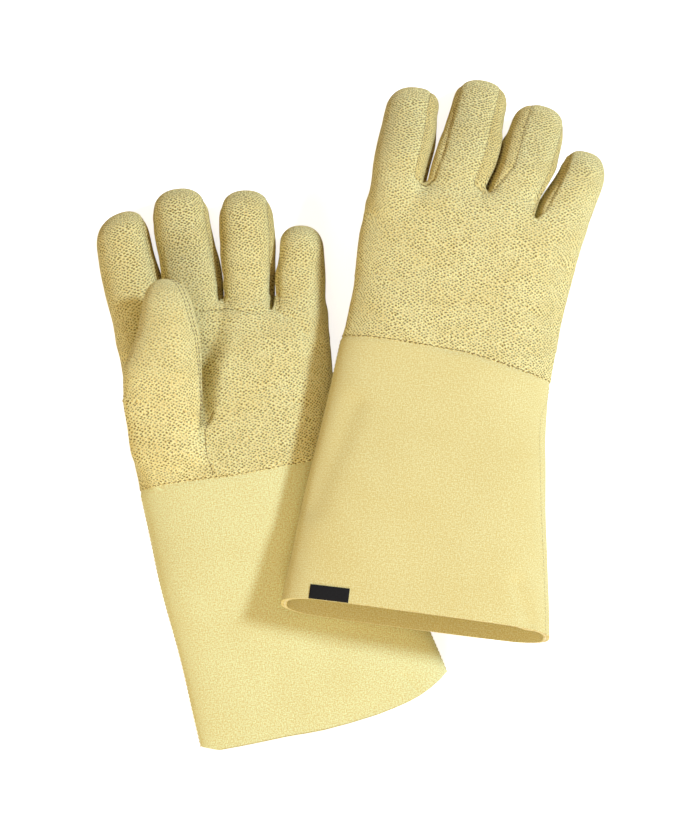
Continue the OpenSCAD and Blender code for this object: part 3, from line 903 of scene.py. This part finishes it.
def ride(glove, obj, nodes, thumb=False):
    """Puts a piece on its body and hides its solids; a thumb's piece only has its place baked in."""
    if thumb:
        x, y = THUMB_START
        ends = [(x, y, 40.0), (x + THUMB_FACING[0] * THUMB_BLEND, y + THUMB_FACING[1] * THUMB_BLEND, 40.0)]
        start, end = glove.place(ends)
        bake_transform(obj)
    else:
        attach(obj, f"{glove.name}_glove")
    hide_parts(*[f"{glove.name}_{n}" for n in nodes])


# ------------------------------------------------------------ the stitches

def stitch_tree():
    """Geometry Nodes tree that lays a short sewn thread at every pitch along a line."""
    if "stitches" in bpy.data.node_groups:
        return bpy.data.node_groups["stitches"]
    tree = bpy.data.node_groups.new("stitches", "GeometryNodeTree")
    face = tree.interface
    face.new_socket("Lines", in_out="INPUT", socket_type="NodeSocketGeometry")
    for label, default in (("Pitch", 0.0036), ("Stitch length", 0.0026), ("Thread", 0.0006)):
        socket = face.new_socket(label, in_out="INPUT", socket_type="NodeSocketFloat")
        socket.default_value = default
    face.new_socket("Finish", in_out="INPUT", socket_type="NodeSocketMaterial")
    face.new_socket("Stitches", in_out="OUTPUT", socket_type="NodeSocketGeometry")
    given = add(tree, "NodeGroupInput")
    curve = add(tree, "GeometryNodeMeshToCurve", inputs={"Mesh": given["Lines"]})[0]
    points = add(tree, "GeometryNodeResampleCurve", {"mode": "LENGTH"},
                 {"Curve": curve, "Length": given["Pitch"]})[0]
    along = add(tree, "GeometryNodeInputTangent")[0]
    turn = add(tree, "FunctionNodeAlignRotationToVector", {"axis": "Z"}, {"Vector": along})[0]
    size = add(tree, "ShaderNodeCombineXYZ", inputs={
        "X": given["Thread"], "Y": given["Thread"], "Z": given["Stitch length"]})[0]
    ball = add(tree, "GeometryNodeMeshUVSphere", inputs={"Segments": 6, "Rings": 5, "Radius": 0.5})[0]
    stitch = add(tree, "GeometryNodeTransform", inputs={"Geometry": ball, "Scale": size})[0]
    copies = add(tree, "GeometryNodeInstanceOnPoints", inputs={
        "Points": points, "Instance": stitch, "Rotation": turn})[0]
    real = add(tree, "GeometryNodeRealizeInstances", inputs={"Geometry": copies})[0]
    smooth = add(tree, "GeometryNodeSetShadeSmooth", inputs={"Geometry": real})[0]
    done = add(tree, "GeometryNodeSetMaterial", inputs={
        "Geometry": smooth, "Material": given["Finish"]})[0]
    add(tree, "NodeGroupOutput", inputs={"Stitches": done})
    return tree


def stitch_piece(skin, name, lines, nodes, pitch, length, thread, thumb=False, finish="sewing_thread"):
    """Stitches along lines on the glove, as one plain mesh."""
    points, edges = [], []
    for line in lines:
        line = evened(line.copy(), 0.8)
        edges += [(len(points) + i, len(points) + i + 1) for i in range(len(line) - 1)]
        points += line.tolist()
    glove = skin.glove
    source = new_object("lines", glove.place(points), [], material(finish), edges)
    tree = stitch_tree()
    modifier = source.modifiers.new("stitches", "NODES")
    modifier.node_group = tree
    inputs = {item.name: item.identifier for item in tree.interface.items_tree
              if item.item_type == "SOCKET" and item.in_out == "INPUT"}
    for key, value in (("Pitch", pitch * MM), ("Stitch length", length * MM),
                       ("Thread", thread * MM), ("Finish", material(finish))):
        modifier[inputs[key]] = value
    bpy.context.view_layer.update()
    evaluated = source.evaluated_get(bpy.context.evaluated_depsgraph_get())
    mesh = bpy.data.meshes.new_from_object(evaluated)
    source.modifiers.remove(modifier)
    bpy.data.objects.remove(source)
    mesh.name = f"{glove.name}_{name}"
    obj = bpy.data.objects.new(mesh.name, mesh)
    bpy.context.scene.collection.objects.link(obj)
    if not len(mesh.polygons):
        raise RuntimeError(f"{mesh.name} has no stitches")
    ride(glove, obj, nodes, thumb)
    return obj


# ----------------------------------------------------------- the materials

def linear(text):
    """Linear colour of an sRGB hex value."""
    value = [int(text[i:i + 2], 16) / 255 for i in (1, 3, 5)]
    return (*(v / 12.92 if v <= 0.04045 else ((v + 0.055) / 1.055) ** 2.4 for v in value), 1.0)


def add(tree, kind, settings=None, inputs=None):
    """Adds a node of that kind with its settings, and sets or links its inputs. It
    stands to the right of the nodes that feed it."""
    node = tree.nodes.new(kind)
    for key, value in (settings or {}).items():
        setattr(node, key, value)
    column = 0
    for key, value in (inputs or {}).items():
        if isinstance(value, bpy.types.NodeSocket):
            tree.links.new(value, node.inputs[key])
            column = max(column, value.node.location.x + 220)
        else:
            node.inputs[key].default_value = value
    row = sum(other.location.x == column for other in tree.nodes if other != node)
    node.location = (column, -260 * row)
    return node.outputs


def begin(name):
    made = bpy.data.materials.new(name)
    made.use_nodes = True
    made.node_tree.nodes.clear()
    return made


def finish_cloth(made, colour, height, strength, deep, roughness, sheen=0.0, specular=0.2):
    """Ends a material: its colour, raised by its height, which stands so many mm deep."""
    tree = made.node_tree
    bump = add(tree, "ShaderNodeBump", inputs={
        "Height": height, "Strength": strength, "Distance": deep * MM})[0]
    shader = add(tree, "ShaderNodeBsdfPrincipled", inputs={
        "Base Color": colour, "Normal": bump, "Roughness": roughness, "Sheen Weight": sheen,
        "Sheen Roughness": 0.5, "Specular IOR Level": specular})[0]
    add(tree, "ShaderNodeOutputMaterial", inputs={"Surface": shader})
    return made


def knit_material(name, light, shade, hole):
    """Looped aramid knit: yarn-dyed para-aramid in a dense terry knit, whose loops
    stand in staggered rows around dark pinholes. Matt, with a soft fuzz."""
    made = begin(name)
    tree = made.node_tree
    flat, colour = {"noise_dimensions": "2D"}, {"data_type": "RGBA"}
    pitch = length_of("loop_pitch") * MM
    place = add(tree, "ShaderNodeUVMap", {"uv_map": "cloth"})[0]
    # turned by 45 degrees, so that each row of loops is set half a loop aside from the
    # one before it. From here on, lengths are counted in loops: a sway over 6 of them,
    # patches of 3, fuzz of a third of one, and areas of 11
    rows = add(tree, "ShaderNodeMapping", inputs={
        "Vector": place, "Rotation": (0, 0, math.radians(-45)),
        "Scale": (0.7071 / pitch, 0.7071 / (ROW_PITCH * pitch), 1)})[0]
    sway = add(tree, "ShaderNodeTexNoise", flat, {"Vector": rows, "Scale": 0.16, "Detail": 1.0})[1]
    rows = add(tree, "ShaderNodeVectorMath", {"operation": "MULTIPLY_ADD"},
               {0: sway, 1: (1.6, 1.6, 0), 2: rows})[0]
    cells = add(tree, "ShaderNodeTexVoronoi", {"voronoi_dimensions": "2D"},
                {"Vector": rows, "Scale": 1.0, "Randomness": 0.42})
    patches = add(tree, "ShaderNodeTexNoise", flat, {"Vector": rows, "Scale": 0.3, "Detail": 2.0})[0]
    fuzz = add(tree, "ShaderNodeTexNoise", flat,
               {"Vector": rows, "Scale": 3.1, "Detail": 2.0, "Roughness": 0.7})[0]
    broad = add(tree, "ShaderNodeTexNoise", flat, {"Vector": rows, "Scale": 0.09, "Detail": 2.0})[0]
    # the holes, their uneven depth, patches of deeper ones, the fuzz and warmer areas
    dots, uneven, patch, loops, warm = (
        add(tree, "ShaderNodeMapRange", inputs={
            "Value": value, "From Min": low, "From Max": high, "To Min": start, "To Max": end})[0]
        for value, low, high, start, end in (
            (cells["Distance"], 0.10, 0.35, 1.0, 0.0), (cells["Color"], 0.1, 0.8, 0.5, 1.35),
            (patches, 0.30, 0.60, 0.75, 1.2), (fuzz, 0.40, 0.56, 0.0, 1.0),
            (broad, 0.35, 0.7, 0.0, 0.2)))
    amount = dots
    # how open the knit is, with painted shade darkening the pinholes at the fingertips
    opened_and_tip_shade = add(tree, "ShaderNodeAttribute", {"attribute_name": "open"})["Fac"]
    for factor in (uneven, patch, opened_and_tip_shade):
        amount = add(tree, "ShaderNodeMath", {"operation": "MULTIPLY", "use_clamp": True},
                     {0: amount, 1: factor})[0]
    ground = add(tree, "ShaderNodeMix", colour, {"Factor": loops, 6: shade, 7: light})[2]
    ground = add(tree, "ShaderNodeMix", colour, {"Factor": warm, 6: ground, 7: shade})[2]
    ground = add(tree, "ShaderNodeMix", colour, {"Factor": amount, 6: ground, 7: hole})[2]
    height = add(tree, "ShaderNodeMath", {"operation": "SUBTRACT"}, {0: loops, 1: amount})[0]
    return finish_cloth(made, ground, height, 0.6, 0.8, 0.92, 0.05)


def woven_material(name, light, shade, thread, deep, grain=1.0, roughness=0.88, sheen=0.1, turn=0.0):
    """Plain woven cloth of spun yarn: a fine grain along both threads, broken up by
    the nap of the fibres, and a little unevenness in the dye."""
    made = begin(name)
    tree = made.node_tree
    flat = {"noise_dimensions": "2D"}
    place = add(tree, "ShaderNodeUVMap", {"uv_map": "cloth"})[0]
    weave = add(tree, "ShaderNodeMapping", inputs={
        "Vector": place, "Rotation": (0, 0, turn), "Scale": (1 / (thread * MM),) * 3})[0]
    warp, weft = (add(tree, "ShaderNodeTexWave", {"bands_direction": way, "wave_profile": "SIN"},
                      {"Vector": weave, "Scale": ONE_BAND, "Distortion": 5.0, "Detail": 2.0})[1]
                  for way in "XY")
    fibre = add(tree, "ShaderNodeTexNoise", flat,
                {"Vector": weave, "Scale": 1.25, "Detail": 3.0, "Roughness": 0.75})[0]
    nap = add(tree, "ShaderNodeMapRange", inputs={"Value": fibre, "From Min": 0.3, "From Max": 0.7})[0]
    cross = add(tree, "ShaderNodeMath", {"operation": "MULTIPLY"}, {0: warp, 1: weft})[0]
    height = add(tree, "ShaderNodeMix", {"data_type": "FLOAT"}, {0: 0.75, 2: cross, 3: nap})[0]
    broad = add(tree, "ShaderNodeTexNoise", flat, {"Vector": weave, "Scale": 0.03, "Detail": 3.0})[0]
    tone = add(tree, "ShaderNodeMath", {"operation": "MULTIPLY_ADD"}, {0: broad, 1: 0.2, 2: height})[0]
    spread = add(tree, "ShaderNodeMapRange", inputs={
        "Value": tone, "From Min": 0.6 - 0.5 / grain, "From Max": 0.6 + 0.5 / grain})[0]
    colour = add(tree, "ShaderNodeMix", {"data_type": "RGBA"}, {"Factor": spread, 6: shade, 7: light})[2]
    return finish_cloth(made, colour, height, 0.5, deep, roughness, sheen)


def thread_material(name, light, shade):
    """Twisted aramid sewing thread: a few fine plies wound round each other."""
    made = begin(name)
    tree = made.node_tree
    place = add(tree, "ShaderNodeTexCoord")["Object"]
    # 2.6 specks of ply for each millimetre
    plies = add(tree, "ShaderNodeTexNoise", inputs={"Vector": place, "Scale": 2.6 / MM, "Detail": 2.0})[0]
    colour = add(tree, "ShaderNodeMix", {"data_type": "RGBA"}, {"Factor": plies, 6: shade, 7: light})[2]
    return finish_cloth(made, colour, plies, 0.5, 0.1, 0.7, specular=0.5)


# Distance between the rows of loops, against the distance between the loops
ROW_PITCH = 0.64
# Scale at which a wave texture has one band for each thread
ONE_BAND = 0.314
# Each finish, made from its colours and its sizes: thread and depth of the weave in mm,
# and a higher grain where the threads and the gaps differ more
FINISHES = {
    # terry knit of golden para-aramid: speckled with brown pinholes, and matt
    "aramid_knit": (knit_material, ("knit", "knit_shade", "knit_hole"), {}),
    # the same knit in strips, pulled along their length: a little paler
    "aramid_knit_strip": (knit_material, ("strip", "knit_shade", "knit_hole"), {}),
    # spun aramid duck, brushed: creamy and mottled by its nap, with no gloss
    "aramid_cloth": (woven_material, ("cloth", "cloth_shade"),
                     {"thread": 1.3, "deep": 0.3, "grain": 2.2}),
    # a paler roll of the same duck, with a softer grain
    "aramid_cloth_paler": (woven_material, ("cloth_paler", "cloth_shade"),
                           {"thread": 1.3, "deep": 0.3, "grain": 1.5}),
    # plain woven lining, even, in a colour lightened nearly to white as painted light for the shaded
    # inside of the mouth
    "cuff_lining": (woven_material, ("lining", "cloth_shade"), {"thread": 1.3, "deep": 0.25}),
    # needle-punched aramid felt: coarse matted fibres, deeper than any weave
    "needled_felt": (woven_material, ("felt", "knit_hole"), {"thread": 2.0, "deep": 0.5}),
    # fine knitted liner: soft and nearly white
    "fleece_liner": (woven_material, ("liner", "cloth_shade"), {"thread": 1.0, "deep": 0.3}),
    # dense twill tape of polyester: nearly black, and a little smoother than the cloth
    "label_tape": (woven_material, ("label", "label_shade"),
                   {"thread": 0.5, "deep": 0.06, "roughness": 0.75, "sheen": 0.0, "turn": 0.6}),
    # aramid thread in the cuff's colour, which hardly shows
    "cuff_thread": (thread_material, ("cloth", "thread"), {}),
    # brown aramid thread of all other seams, darkened as well to paint the shade of the seam creases
    "sewing_thread": (thread_material, ("thread", "thread_shade"), {}),
}


def material(name):
    """A material by its name, made when it is first needed."""
    if name not in _materials:
        make, colours, sizes = FINISHES[name]
        _materials[name] = make(name, *map(colour_of, colours), **sizes)
    return _materials[name]


# --------------------------------------------------------- the properties

def length_property(name, description, default, low, high):
    """A length given in millimetres, kept in metres as Blender keeps lengths."""
    return bpy.props.FloatProperty(name=name, description=description, default=default * MM,
                                   min=low * MM, max=high * MM, precision=5, unit="LENGTH")


def colour_property(name, description, text):
    return bpy.props.FloatVectorProperty(name=name, description=description, subtype="COLOR",
                                         size=4, min=0, max=1, default=linear(text))


class GLOVES_PG_sizes(bpy.types.PropertyGroup):
    """Sizes of the cloth and the sewing"""
    knit_depth: length_property("Knit thickness", "Thickness of the knit of the hand", 1.6, 0.8, 2.4)
    cuff_depth: length_property("Cuff thickness", "Thickness of the cuff cloth", 2.0, 1.0, 2.6)
    lining_depth: length_property("Lining thickness", "Thickness of the cuff lining", 1.0, 0.5, 1.6)
    loop_pitch: length_property("Loop pitch", "Distance between two pinholes of the knit", 1.8, 1.0, 4.0)
    stitch_pitch: length_property("Stitch pitch", "From one wrist stitch to the next", 3.6, 2.0, 6.0)
    stitch_length: length_property("Stitch length", "Thread that shows in a wrist stitch", 2.5, 1.0, 5.0)
    thread: length_property("Thread", "Thickness of the thread at the wrist", 0.6, 0.3, 1.2)
    slack: bpy.props.FloatProperty(
        name="Slack", description="How loosely the cloth lies: 0 is drawn tight",
        default=1.0, min=0.0, max=1.5, subtype="FACTOR")
    mesh_step: length_property("Mesh step", "Spacing of the points on the outer cloth", 1.5, 1.2, 4.0)


class GLOVES_PG_colours(bpy.types.PropertyGroup):
    """Colours of the cloth and the thread"""
    knit: colour_property("Knit", "Loops of the knit", "#FFFFC0")
    knit_shade: colour_property("Knit shade", "Between the loops of the knit", "#E4C86E")
    knit_hole: colour_property("Pinholes", "Bottom of the pinholes of the knit", "#6E5704")
    strip: colour_property("Side strips", "Loops of the strips between the fingers", "#F4EAA6")
    cloth: colour_property("Cuff cloth", "Raised threads of the cuff cloth", "#E5E1A6")
    cloth_shade: colour_property("Cuff cloth shade", "Between the threads of the cuff cloth", "#D3C27C")
    cloth_paler: colour_property("Left cuff cloth", "Raised threads of the left cuff cloth", "#E9F2BB")
    # the lining colour is lightened as painted light for the shaded inside of the cuff's mouth
    lining: colour_property("Cuff lining", "Cloth inside the cuff", "#FFFCE0")
    felt: colour_property("Felt", "Needled felt between the layers", "#C9B56E")
    liner: colour_property("Liner", "Soft knit next to the hand", "#F1EBD2")
    # the thread colour is partly the thread's own brown and partly painted shade of the seam creases
    thread: colour_property("Thread", "Sewing thread", "#8F7436")
    thread_shade: colour_property("Thread shade", "Between the plies of the thread", "#5E4818")
    label: colour_property("Label", "Bare woven label", "#0E0906")
    label_shade: colour_property("Label shade", "Between the threads of the label", "#0D0D0F")


def length_of(name):
    """A length from the panel, in millimetres."""
    return round(getattr(bpy.context.scene.gloves_sizes, name) / MM, 4)


def colour_of(name):
    return tuple(getattr(bpy.context.scene.gloves_colours, name))


# ---------------------------------------------------------- the operators

def knit_panels(panels, finish, thumb=False):
    """Makes these panels of both gloves in looped knit."""
    for side in (LEFT, RIGHT):
        skin = sewn(side)
        for panel in panels:
            cloth_piece(skin, f"{panel}_knit", skin.panel_tris(panel), length_of("knit_depth"),
                        finish, [panel], thumb=thumb)
    return {"FINISHED"}


class GLOVES_OT_hands(bpy.types.Operator):
    """Makes the back, the palm and the finger fronts of both hands"""
    bl_idname = "gloves.hands"
    bl_label = "Hands"

    def execute(self, context):
        return knit_panels(("back_panel", "palm_panel", "two_finger_front"), "aramid_knit")


class GLOVES_OT_strips(bpy.types.Operator):
    """Makes the strips sewn between the fingers"""
    bl_idname = "gloves.strips"
    bl_label = "Side strips"

    def execute(self, context):
        return knit_panels(("fourchette_1", "fourchette_2", "fourchette_3"), "aramid_knit_strip")


class GLOVES_OT_thumbs(bpy.types.Operator):
    """Makes both thumbs, which bend out of the palm at their roots"""
    bl_idname = "gloves.thumbs"
    bl_label = "Thumbs"

    def execute(self, context):
        return knit_panels(("thumb_front", "thumb_back"), "aramid_knit", thumb=True)


# Width and thickness of the hem, and the play between the cuff's layers
HEM_W, HEM_DEPTH = 12, 0.7
PLAY = 0.15


class GLOVES_OT_cuffs(bpy.types.Operator):
    """Makes the cuffs with their linings and the hems at their mouths"""
    bl_idname = "gloves.cuffs"
    bl_label = "Cuffs"

    def execute(self, context):
        depth, lining = length_of("cuff_depth"), length_of("lining_depth")
        for side, finish in ((LEFT, "aramid_cloth_paler"), (RIGHT, "aramid_cloth")):
            skin = sewn(side)
            for panel in ("cuff_back", "cuff_palm"):
                cloth_piece(skin, f"{panel}_cloth", skin.panel_tris(panel), depth, finish,
                            [panel])
            on_cuff = skin.panel >= PANELS.index("cuff_back")
            cloth_piece(skin, "cuff_lining_cloth", skin.tris[on_cuff], lining, "cuff_lining",
                        ["cuff_lining"], sunk=depth + PLAY)
            trim = mouth_trim(skin.glove, skin.on_faces("w"), skin.points[skin.tris].mean(1)[:, 2])
            hem = on_cuff & (skin.on_faces("s") + CUFF - trim < HEM_W)
            cloth_piece(skin, "cuff_hem_cloth", skin.tris[hem], HEM_DEPTH, finish,
                        ["cuff_hem"], sunk=depth + lining + 2 * PLAY)
        return {"FINISHED"}


# The layers inside a hand: how far below the outer surface they lie and how thick
# they are, their finish, and a slot name that nothing reads
LAYERS = (("insulation", 3.1, 2.2, "needled_felt", "felt"),
          ("liner", 5.5, 0.8, "fleece_liner", "liner"))
LAYER_STEP = 3.2


class GLOVES_OT_layers(bpy.types.Operator):
    """Makes the felt insulation and the liner inside the hands and thumbs"""
    bl_idname = "gloves.layers"
    bl_label = "Inner layers"

    def execute(self, context):
        for side in (LEFT, RIGHT):
            glove = Glove(side)
            for layer, below, depth, finish, slot in LAYERS:
                inner = Cloth(glove, *glove_skin(glove, -below, LAYER_STEP, seams=False))
                value = glove_values(glove, inner.points[inner.tris].mean(1))
                on_thumb = value["thumb"] > 0
                cloth_piece(inner, f"{layer}_layer", inner.tris[~on_thumb & (value["s"] > 1)],
                            depth, finish, [layer])
                cloth_piece(inner, f"thumb_{layer}_layer", inner.tris[on_thumb], depth, finish,
                            [f"thumb_{layer}"], thumb=True)
        return {"FINISHED"}


class GLOVES_OT_stitches(bpy.types.Operator):
    """Sews the seams of both gloves"""
    bl_idname = "gloves.stitches"
    bl_label = "Stitches"

    def execute(self, context):
        # each row lies so many mm beside its seam, and the numbers that end a row are its
        # pitch, its stitch length and its thread
        pitch, length, thread = map(length_of, ("stitch_pitch", "stitch_length", "thread"))
        for side in (LEFT, RIGHT):
            skin = sewn(side)
            on_thumb, s = skin.on_faces("thumb") > 0, skin.on_faces("s")
            hand, cuff = (s > 3) & ~on_thumb, s < -3
            stitch_piece(skin, "wrist_stitches", skin.line("s", 0.9), ["wrist_seam"],
                         pitch, length, thread * (0.8, 1.0)[side])
            sides = skin.line("upper", 0.3, hand) + skin.line("lower", -0.3, hand)
            stitch_piece(skin, "finger_stitches", sides, [], 2.8, 1.7, 0.5)
            stitch_piece(skin, "cuff_side_stitches", skin.line("upper", 0.3, cuff), [],
                         2.8, 1.9, 0.45, finish="cuff_thread")
            rows = skin.line("split", 1.2, on_thumb) + skin.line("split", -1.0, on_thumb)
            stitch_piece(skin, "thumb_stitches", rows, [], 3.0, 2.1, 0.65, thumb=True)
            root = skin.path_line(THUMB_SEAM)
            stitch_piece(skin, "thumb_root_stitches", [root], ["thumb_seam"], 2.6, 2.2, 0.6)
            gunn = skin.path_line([(x, value_at(GUNN_SEAM, x)) for x in range(-3, 20, 2)])
            stitch_piece(skin, "gunn_stitches", [gunn], [], 2.6, 2.2, 0.45)
        return {"FINISHED"}


# The label on the right cuff: its lower left corner, its width, its height and its
# thickness, and the line past which it stands over the cuff's edge
LABEL_AT = (-70.5, -173.4)
LABEL_SIZE = (26.5, 9.6)
LABEL_DEPTH = 0.45
LABEL_FOLD = -172.6


class GLOVES_OT_label(bpy.types.Operator):
    """Lays the bare label beside the right mouth"""
    bl_idname = "gloves.label"
    bl_label = "Label"

    def execute(self, context):
        skin = sewn(RIGHT)
        top = skin.tris[(skin.normals[skin.tris].mean(1)[:, 2] > 0.2) & (skin.on_faces("s") < 30 - CUFF)]
        tree = BVHTree.FromPolygons(skin.points.tolist(), top.tolist())
        across, along = 55, 20
        points, faces = [], []
        for j in range(along):
            for i in range(across):
                x = LABEL_AT[0] + LABEL_SIZE[0] * i / (across - 1)
                y = LABEL_AT[1] + LABEL_SIZE[1] * j / (along - 1)
                edge = min(i, across - 1 - i, 0.8 * j, 0.8 * (along - 1 - j))
                hit = tree.ray_cast(Vector((x, max(y, LABEL_FOLD), 200)), Vector((0, 0, -1)))[0]
                # pressed down along its edges by its stitches, and slightly wavy
                raised = 0.75 - 0.35 * math.exp(-edge / 1.5)
                points.append((x, y, hit.z + (raised + 0.06 * math.sin(i * 0.9) * math.sin(j * 0.7))))
        for j in range(along - 1):
            for i in range(across - 1):
                a = j * across + i
                faces += [(a, a + 1, a + across + 1), (a, a + across + 1, a + across)]
        points = np.array(points)
        label = Cloth(skin.glove, points, np.array(faces), points[:, :2] * MM)
        cloth_piece(label, "label_tape", label.tris, LABEL_DEPTH, "label_tape", ["label"])
        return {"FINISHED"}


# Disk lamps, all aimed at the origin: place in metres, diameter, watts and colour
LAMPS = (("key", (2.18, 0.70, 1.95), 0.50, 97.0, "#CFE2FF"),
         ("fill", (-0.4, -2.0, 1.1), 1.4, 34.0, "#FFF2E0"),
         ("top", (0.0, 0.1, 1.9), 1.4, 2.2, "#FFF2E0"))
# The room gives this much warm light, and is seen as white
ROOM_LIGHT, ROOM_COLOUR = 0.44, "#FFDCA8"
FLOOR = [(x, y, -0.0005) for x, y in ((-3, -3), (3, -3), (3, 3), (-3, 3))]
WHITE = (1, 1, 1, 1)


class GLOVES_OT_stage(bpy.types.Operator):
    """Sets the floor, the lights and the camera"""
    bl_idname = "gloves.stage"
    bl_label = "Stage"

    def execute(self, context):
        scene = context.scene
        scene.view_settings.view_transform = "Standard"
        floor = new_object("floor", FLOOR, [(0, 1, 2, 3)], floor_material())
        for name, at, size, power, colour in LAMPS:
            lamp = bpy.data.lights.new(name, "AREA")
            lamp.shape, lamp.size, lamp.energy = "DISK", size, power
            lamp.color = linear(colour)[:3]
            obj = bpy.data.objects.new(name, lamp)
            scene.collection.objects.link(obj)
            obj.location = at
            obj.rotation_euler = (-Vector(at)).to_track_quat("-Z", "Y").to_euler()
        scene.world = bpy.data.worlds.new("studio")
        scene.world.use_nodes = True
        tree = scene.world.node_tree
        tree.nodes.clear()
        seen = add(tree, "ShaderNodeLightPath")
        straight = seen["Is Camera Ray"]
        for ray in ("Is Glossy Ray", "Is Transmission Ray"):
            straight = add(tree, "ShaderNodeMath", {"operation": "MAXIMUM"},
                           {0: straight, 1: seen[ray]})[0]
        level = add(tree, "ShaderNodeMapRange", inputs={
            "Value": straight, "To Min": ROOM_LIGHT, "To Max": 1.0})[0]
        tint = add(tree, "ShaderNodeMix", {"data_type": "RGBA"},
                   {"Factor": straight, 6: linear(ROOM_COLOUR), 7: WHITE})[2]
        back = add(tree, "ShaderNodeBackground", inputs={"Strength": level, "Color": tint})[0]
        add(tree, "ShaderNodeOutputWorld", inputs={"Surface": back})
        camera_at_view(scene)
        return {"FINISHED"}


def floor_material():
    """White card: matt, and lifted to clean white where the camera looks straight at it."""
    made = begin("white_floor")
    tree = made.node_tree
    seen = add(tree, "ShaderNodeLightPath")["Is Camera Ray"]
    lift = add(tree, "ShaderNodeMath", {"operation": "MULTIPLY"}, {0: seen, 1: 0.8})[0]
    shader = add(tree, "ShaderNodeBsdfPrincipled", inputs={
        "Base Color": (0.86, 0.855, 0.85, 1), "Roughness": 0.95, "Specular IOR Level": 0.0,
        "Emission Color": WHITE, "Emission Strength": lift})[0]
    add(tree, "ShaderNodeOutputMaterial", inputs={"Surface": shader})
    return made


# The camera: distance in metres, angle above the floor, roll, the place it looks at,
# and its focal length where the frame is so wide
VIEW_AWAY, VIEW_HEIGHT, VIEW_ROLL = 1.33626, math.radians(78.82), math.radians(0.45)
VIEW_TARGET = (-0.00307, -0.00151, 0.025)
VIEW_WIDTH, VIEW_FOCAL = 685.0, 1920.74
SENSOR = 36.0


def camera_at_view(scene):
    """Puts the camera high in front of the cuffs, looking down on the pair."""
    ahead = Vector((0, math.cos(VIEW_HEIGHT), -math.sin(VIEW_HEIGHT)))
    right = Vector((1, 0, 0))
    up = right.cross(ahead)
    c, s = math.cos(VIEW_ROLL), math.sin(VIEW_ROLL)
    right, up = right * c + up * s, up * c - right * s
    data = bpy.data.cameras.new("camera")
    data.sensor_fit = "HORIZONTAL"
    data.sensor_width = SENSOR
    data.lens = VIEW_FOCAL * SENSOR / VIEW_WIDTH
    camera = bpy.data.objects.new("camera", data)
    scene.collection.objects.link(camera)
    turn = Matrix((right, up, -ahead)).transposed()
    camera.matrix_world = Matrix.Translation(Vector(VIEW_TARGET) - ahead * VIEW_AWAY) @ turn.to_4x4()
    scene.camera = camera


class GLOVES_PT_panel(bpy.types.Panel):
    """Lists the pieces and their settings"""
    bl_idname = "GLOVES_PT_panel"
    bl_label = "Cryogenic gloves"
    bl_space_type = "VIEW_3D"
    bl_region_type = "UI"
    bl_category = "Gloves"

    def draw(self, context):
        layout = self.layout
        for step in STEPS:
            layout.operator(step.bl_idname)
        for group in (context.scene.gloves_sizes, context.scene.gloves_colours):
            box = layout.box()
            for name in group.__annotations__:
                box.prop(group, name)


STEPS = (GLOVES_OT_hands, GLOVES_OT_strips, GLOVES_OT_thumbs, GLOVES_OT_cuffs, GLOVES_OT_layers,
         GLOVES_OT_stitches, GLOVES_OT_label, GLOVES_OT_stage)
CLASSES = (GLOVES_PG_sizes, GLOVES_PG_colours) + STEPS + (GLOVES_PT_panel,)


def register():
    for cls in CLASSES:
        bpy.utils.register_class(cls)
    bpy.types.Scene.gloves_sizes = bpy.props.PointerProperty(type=GLOVES_PG_sizes)
    bpy.types.Scene.gloves_colours = bpy.props.PointerProperty(type=GLOVES_PG_colours)


def unregister():
    del bpy.types.Scene.gloves_colours
    del bpy.types.Scene.gloves_sizes
    for cls in reversed(CLASSES):
        bpy.utils.unregister_class(cls)


def main():
    register()
    ops = bpy.ops.gloves
    for make in (ops.hands, ops.strips, ops.thumbs, ops.cuffs, ops.layers, ops.stitches, ops.label,
                 ops.stage):
        make()


if __name__ == "__main__":
    main()
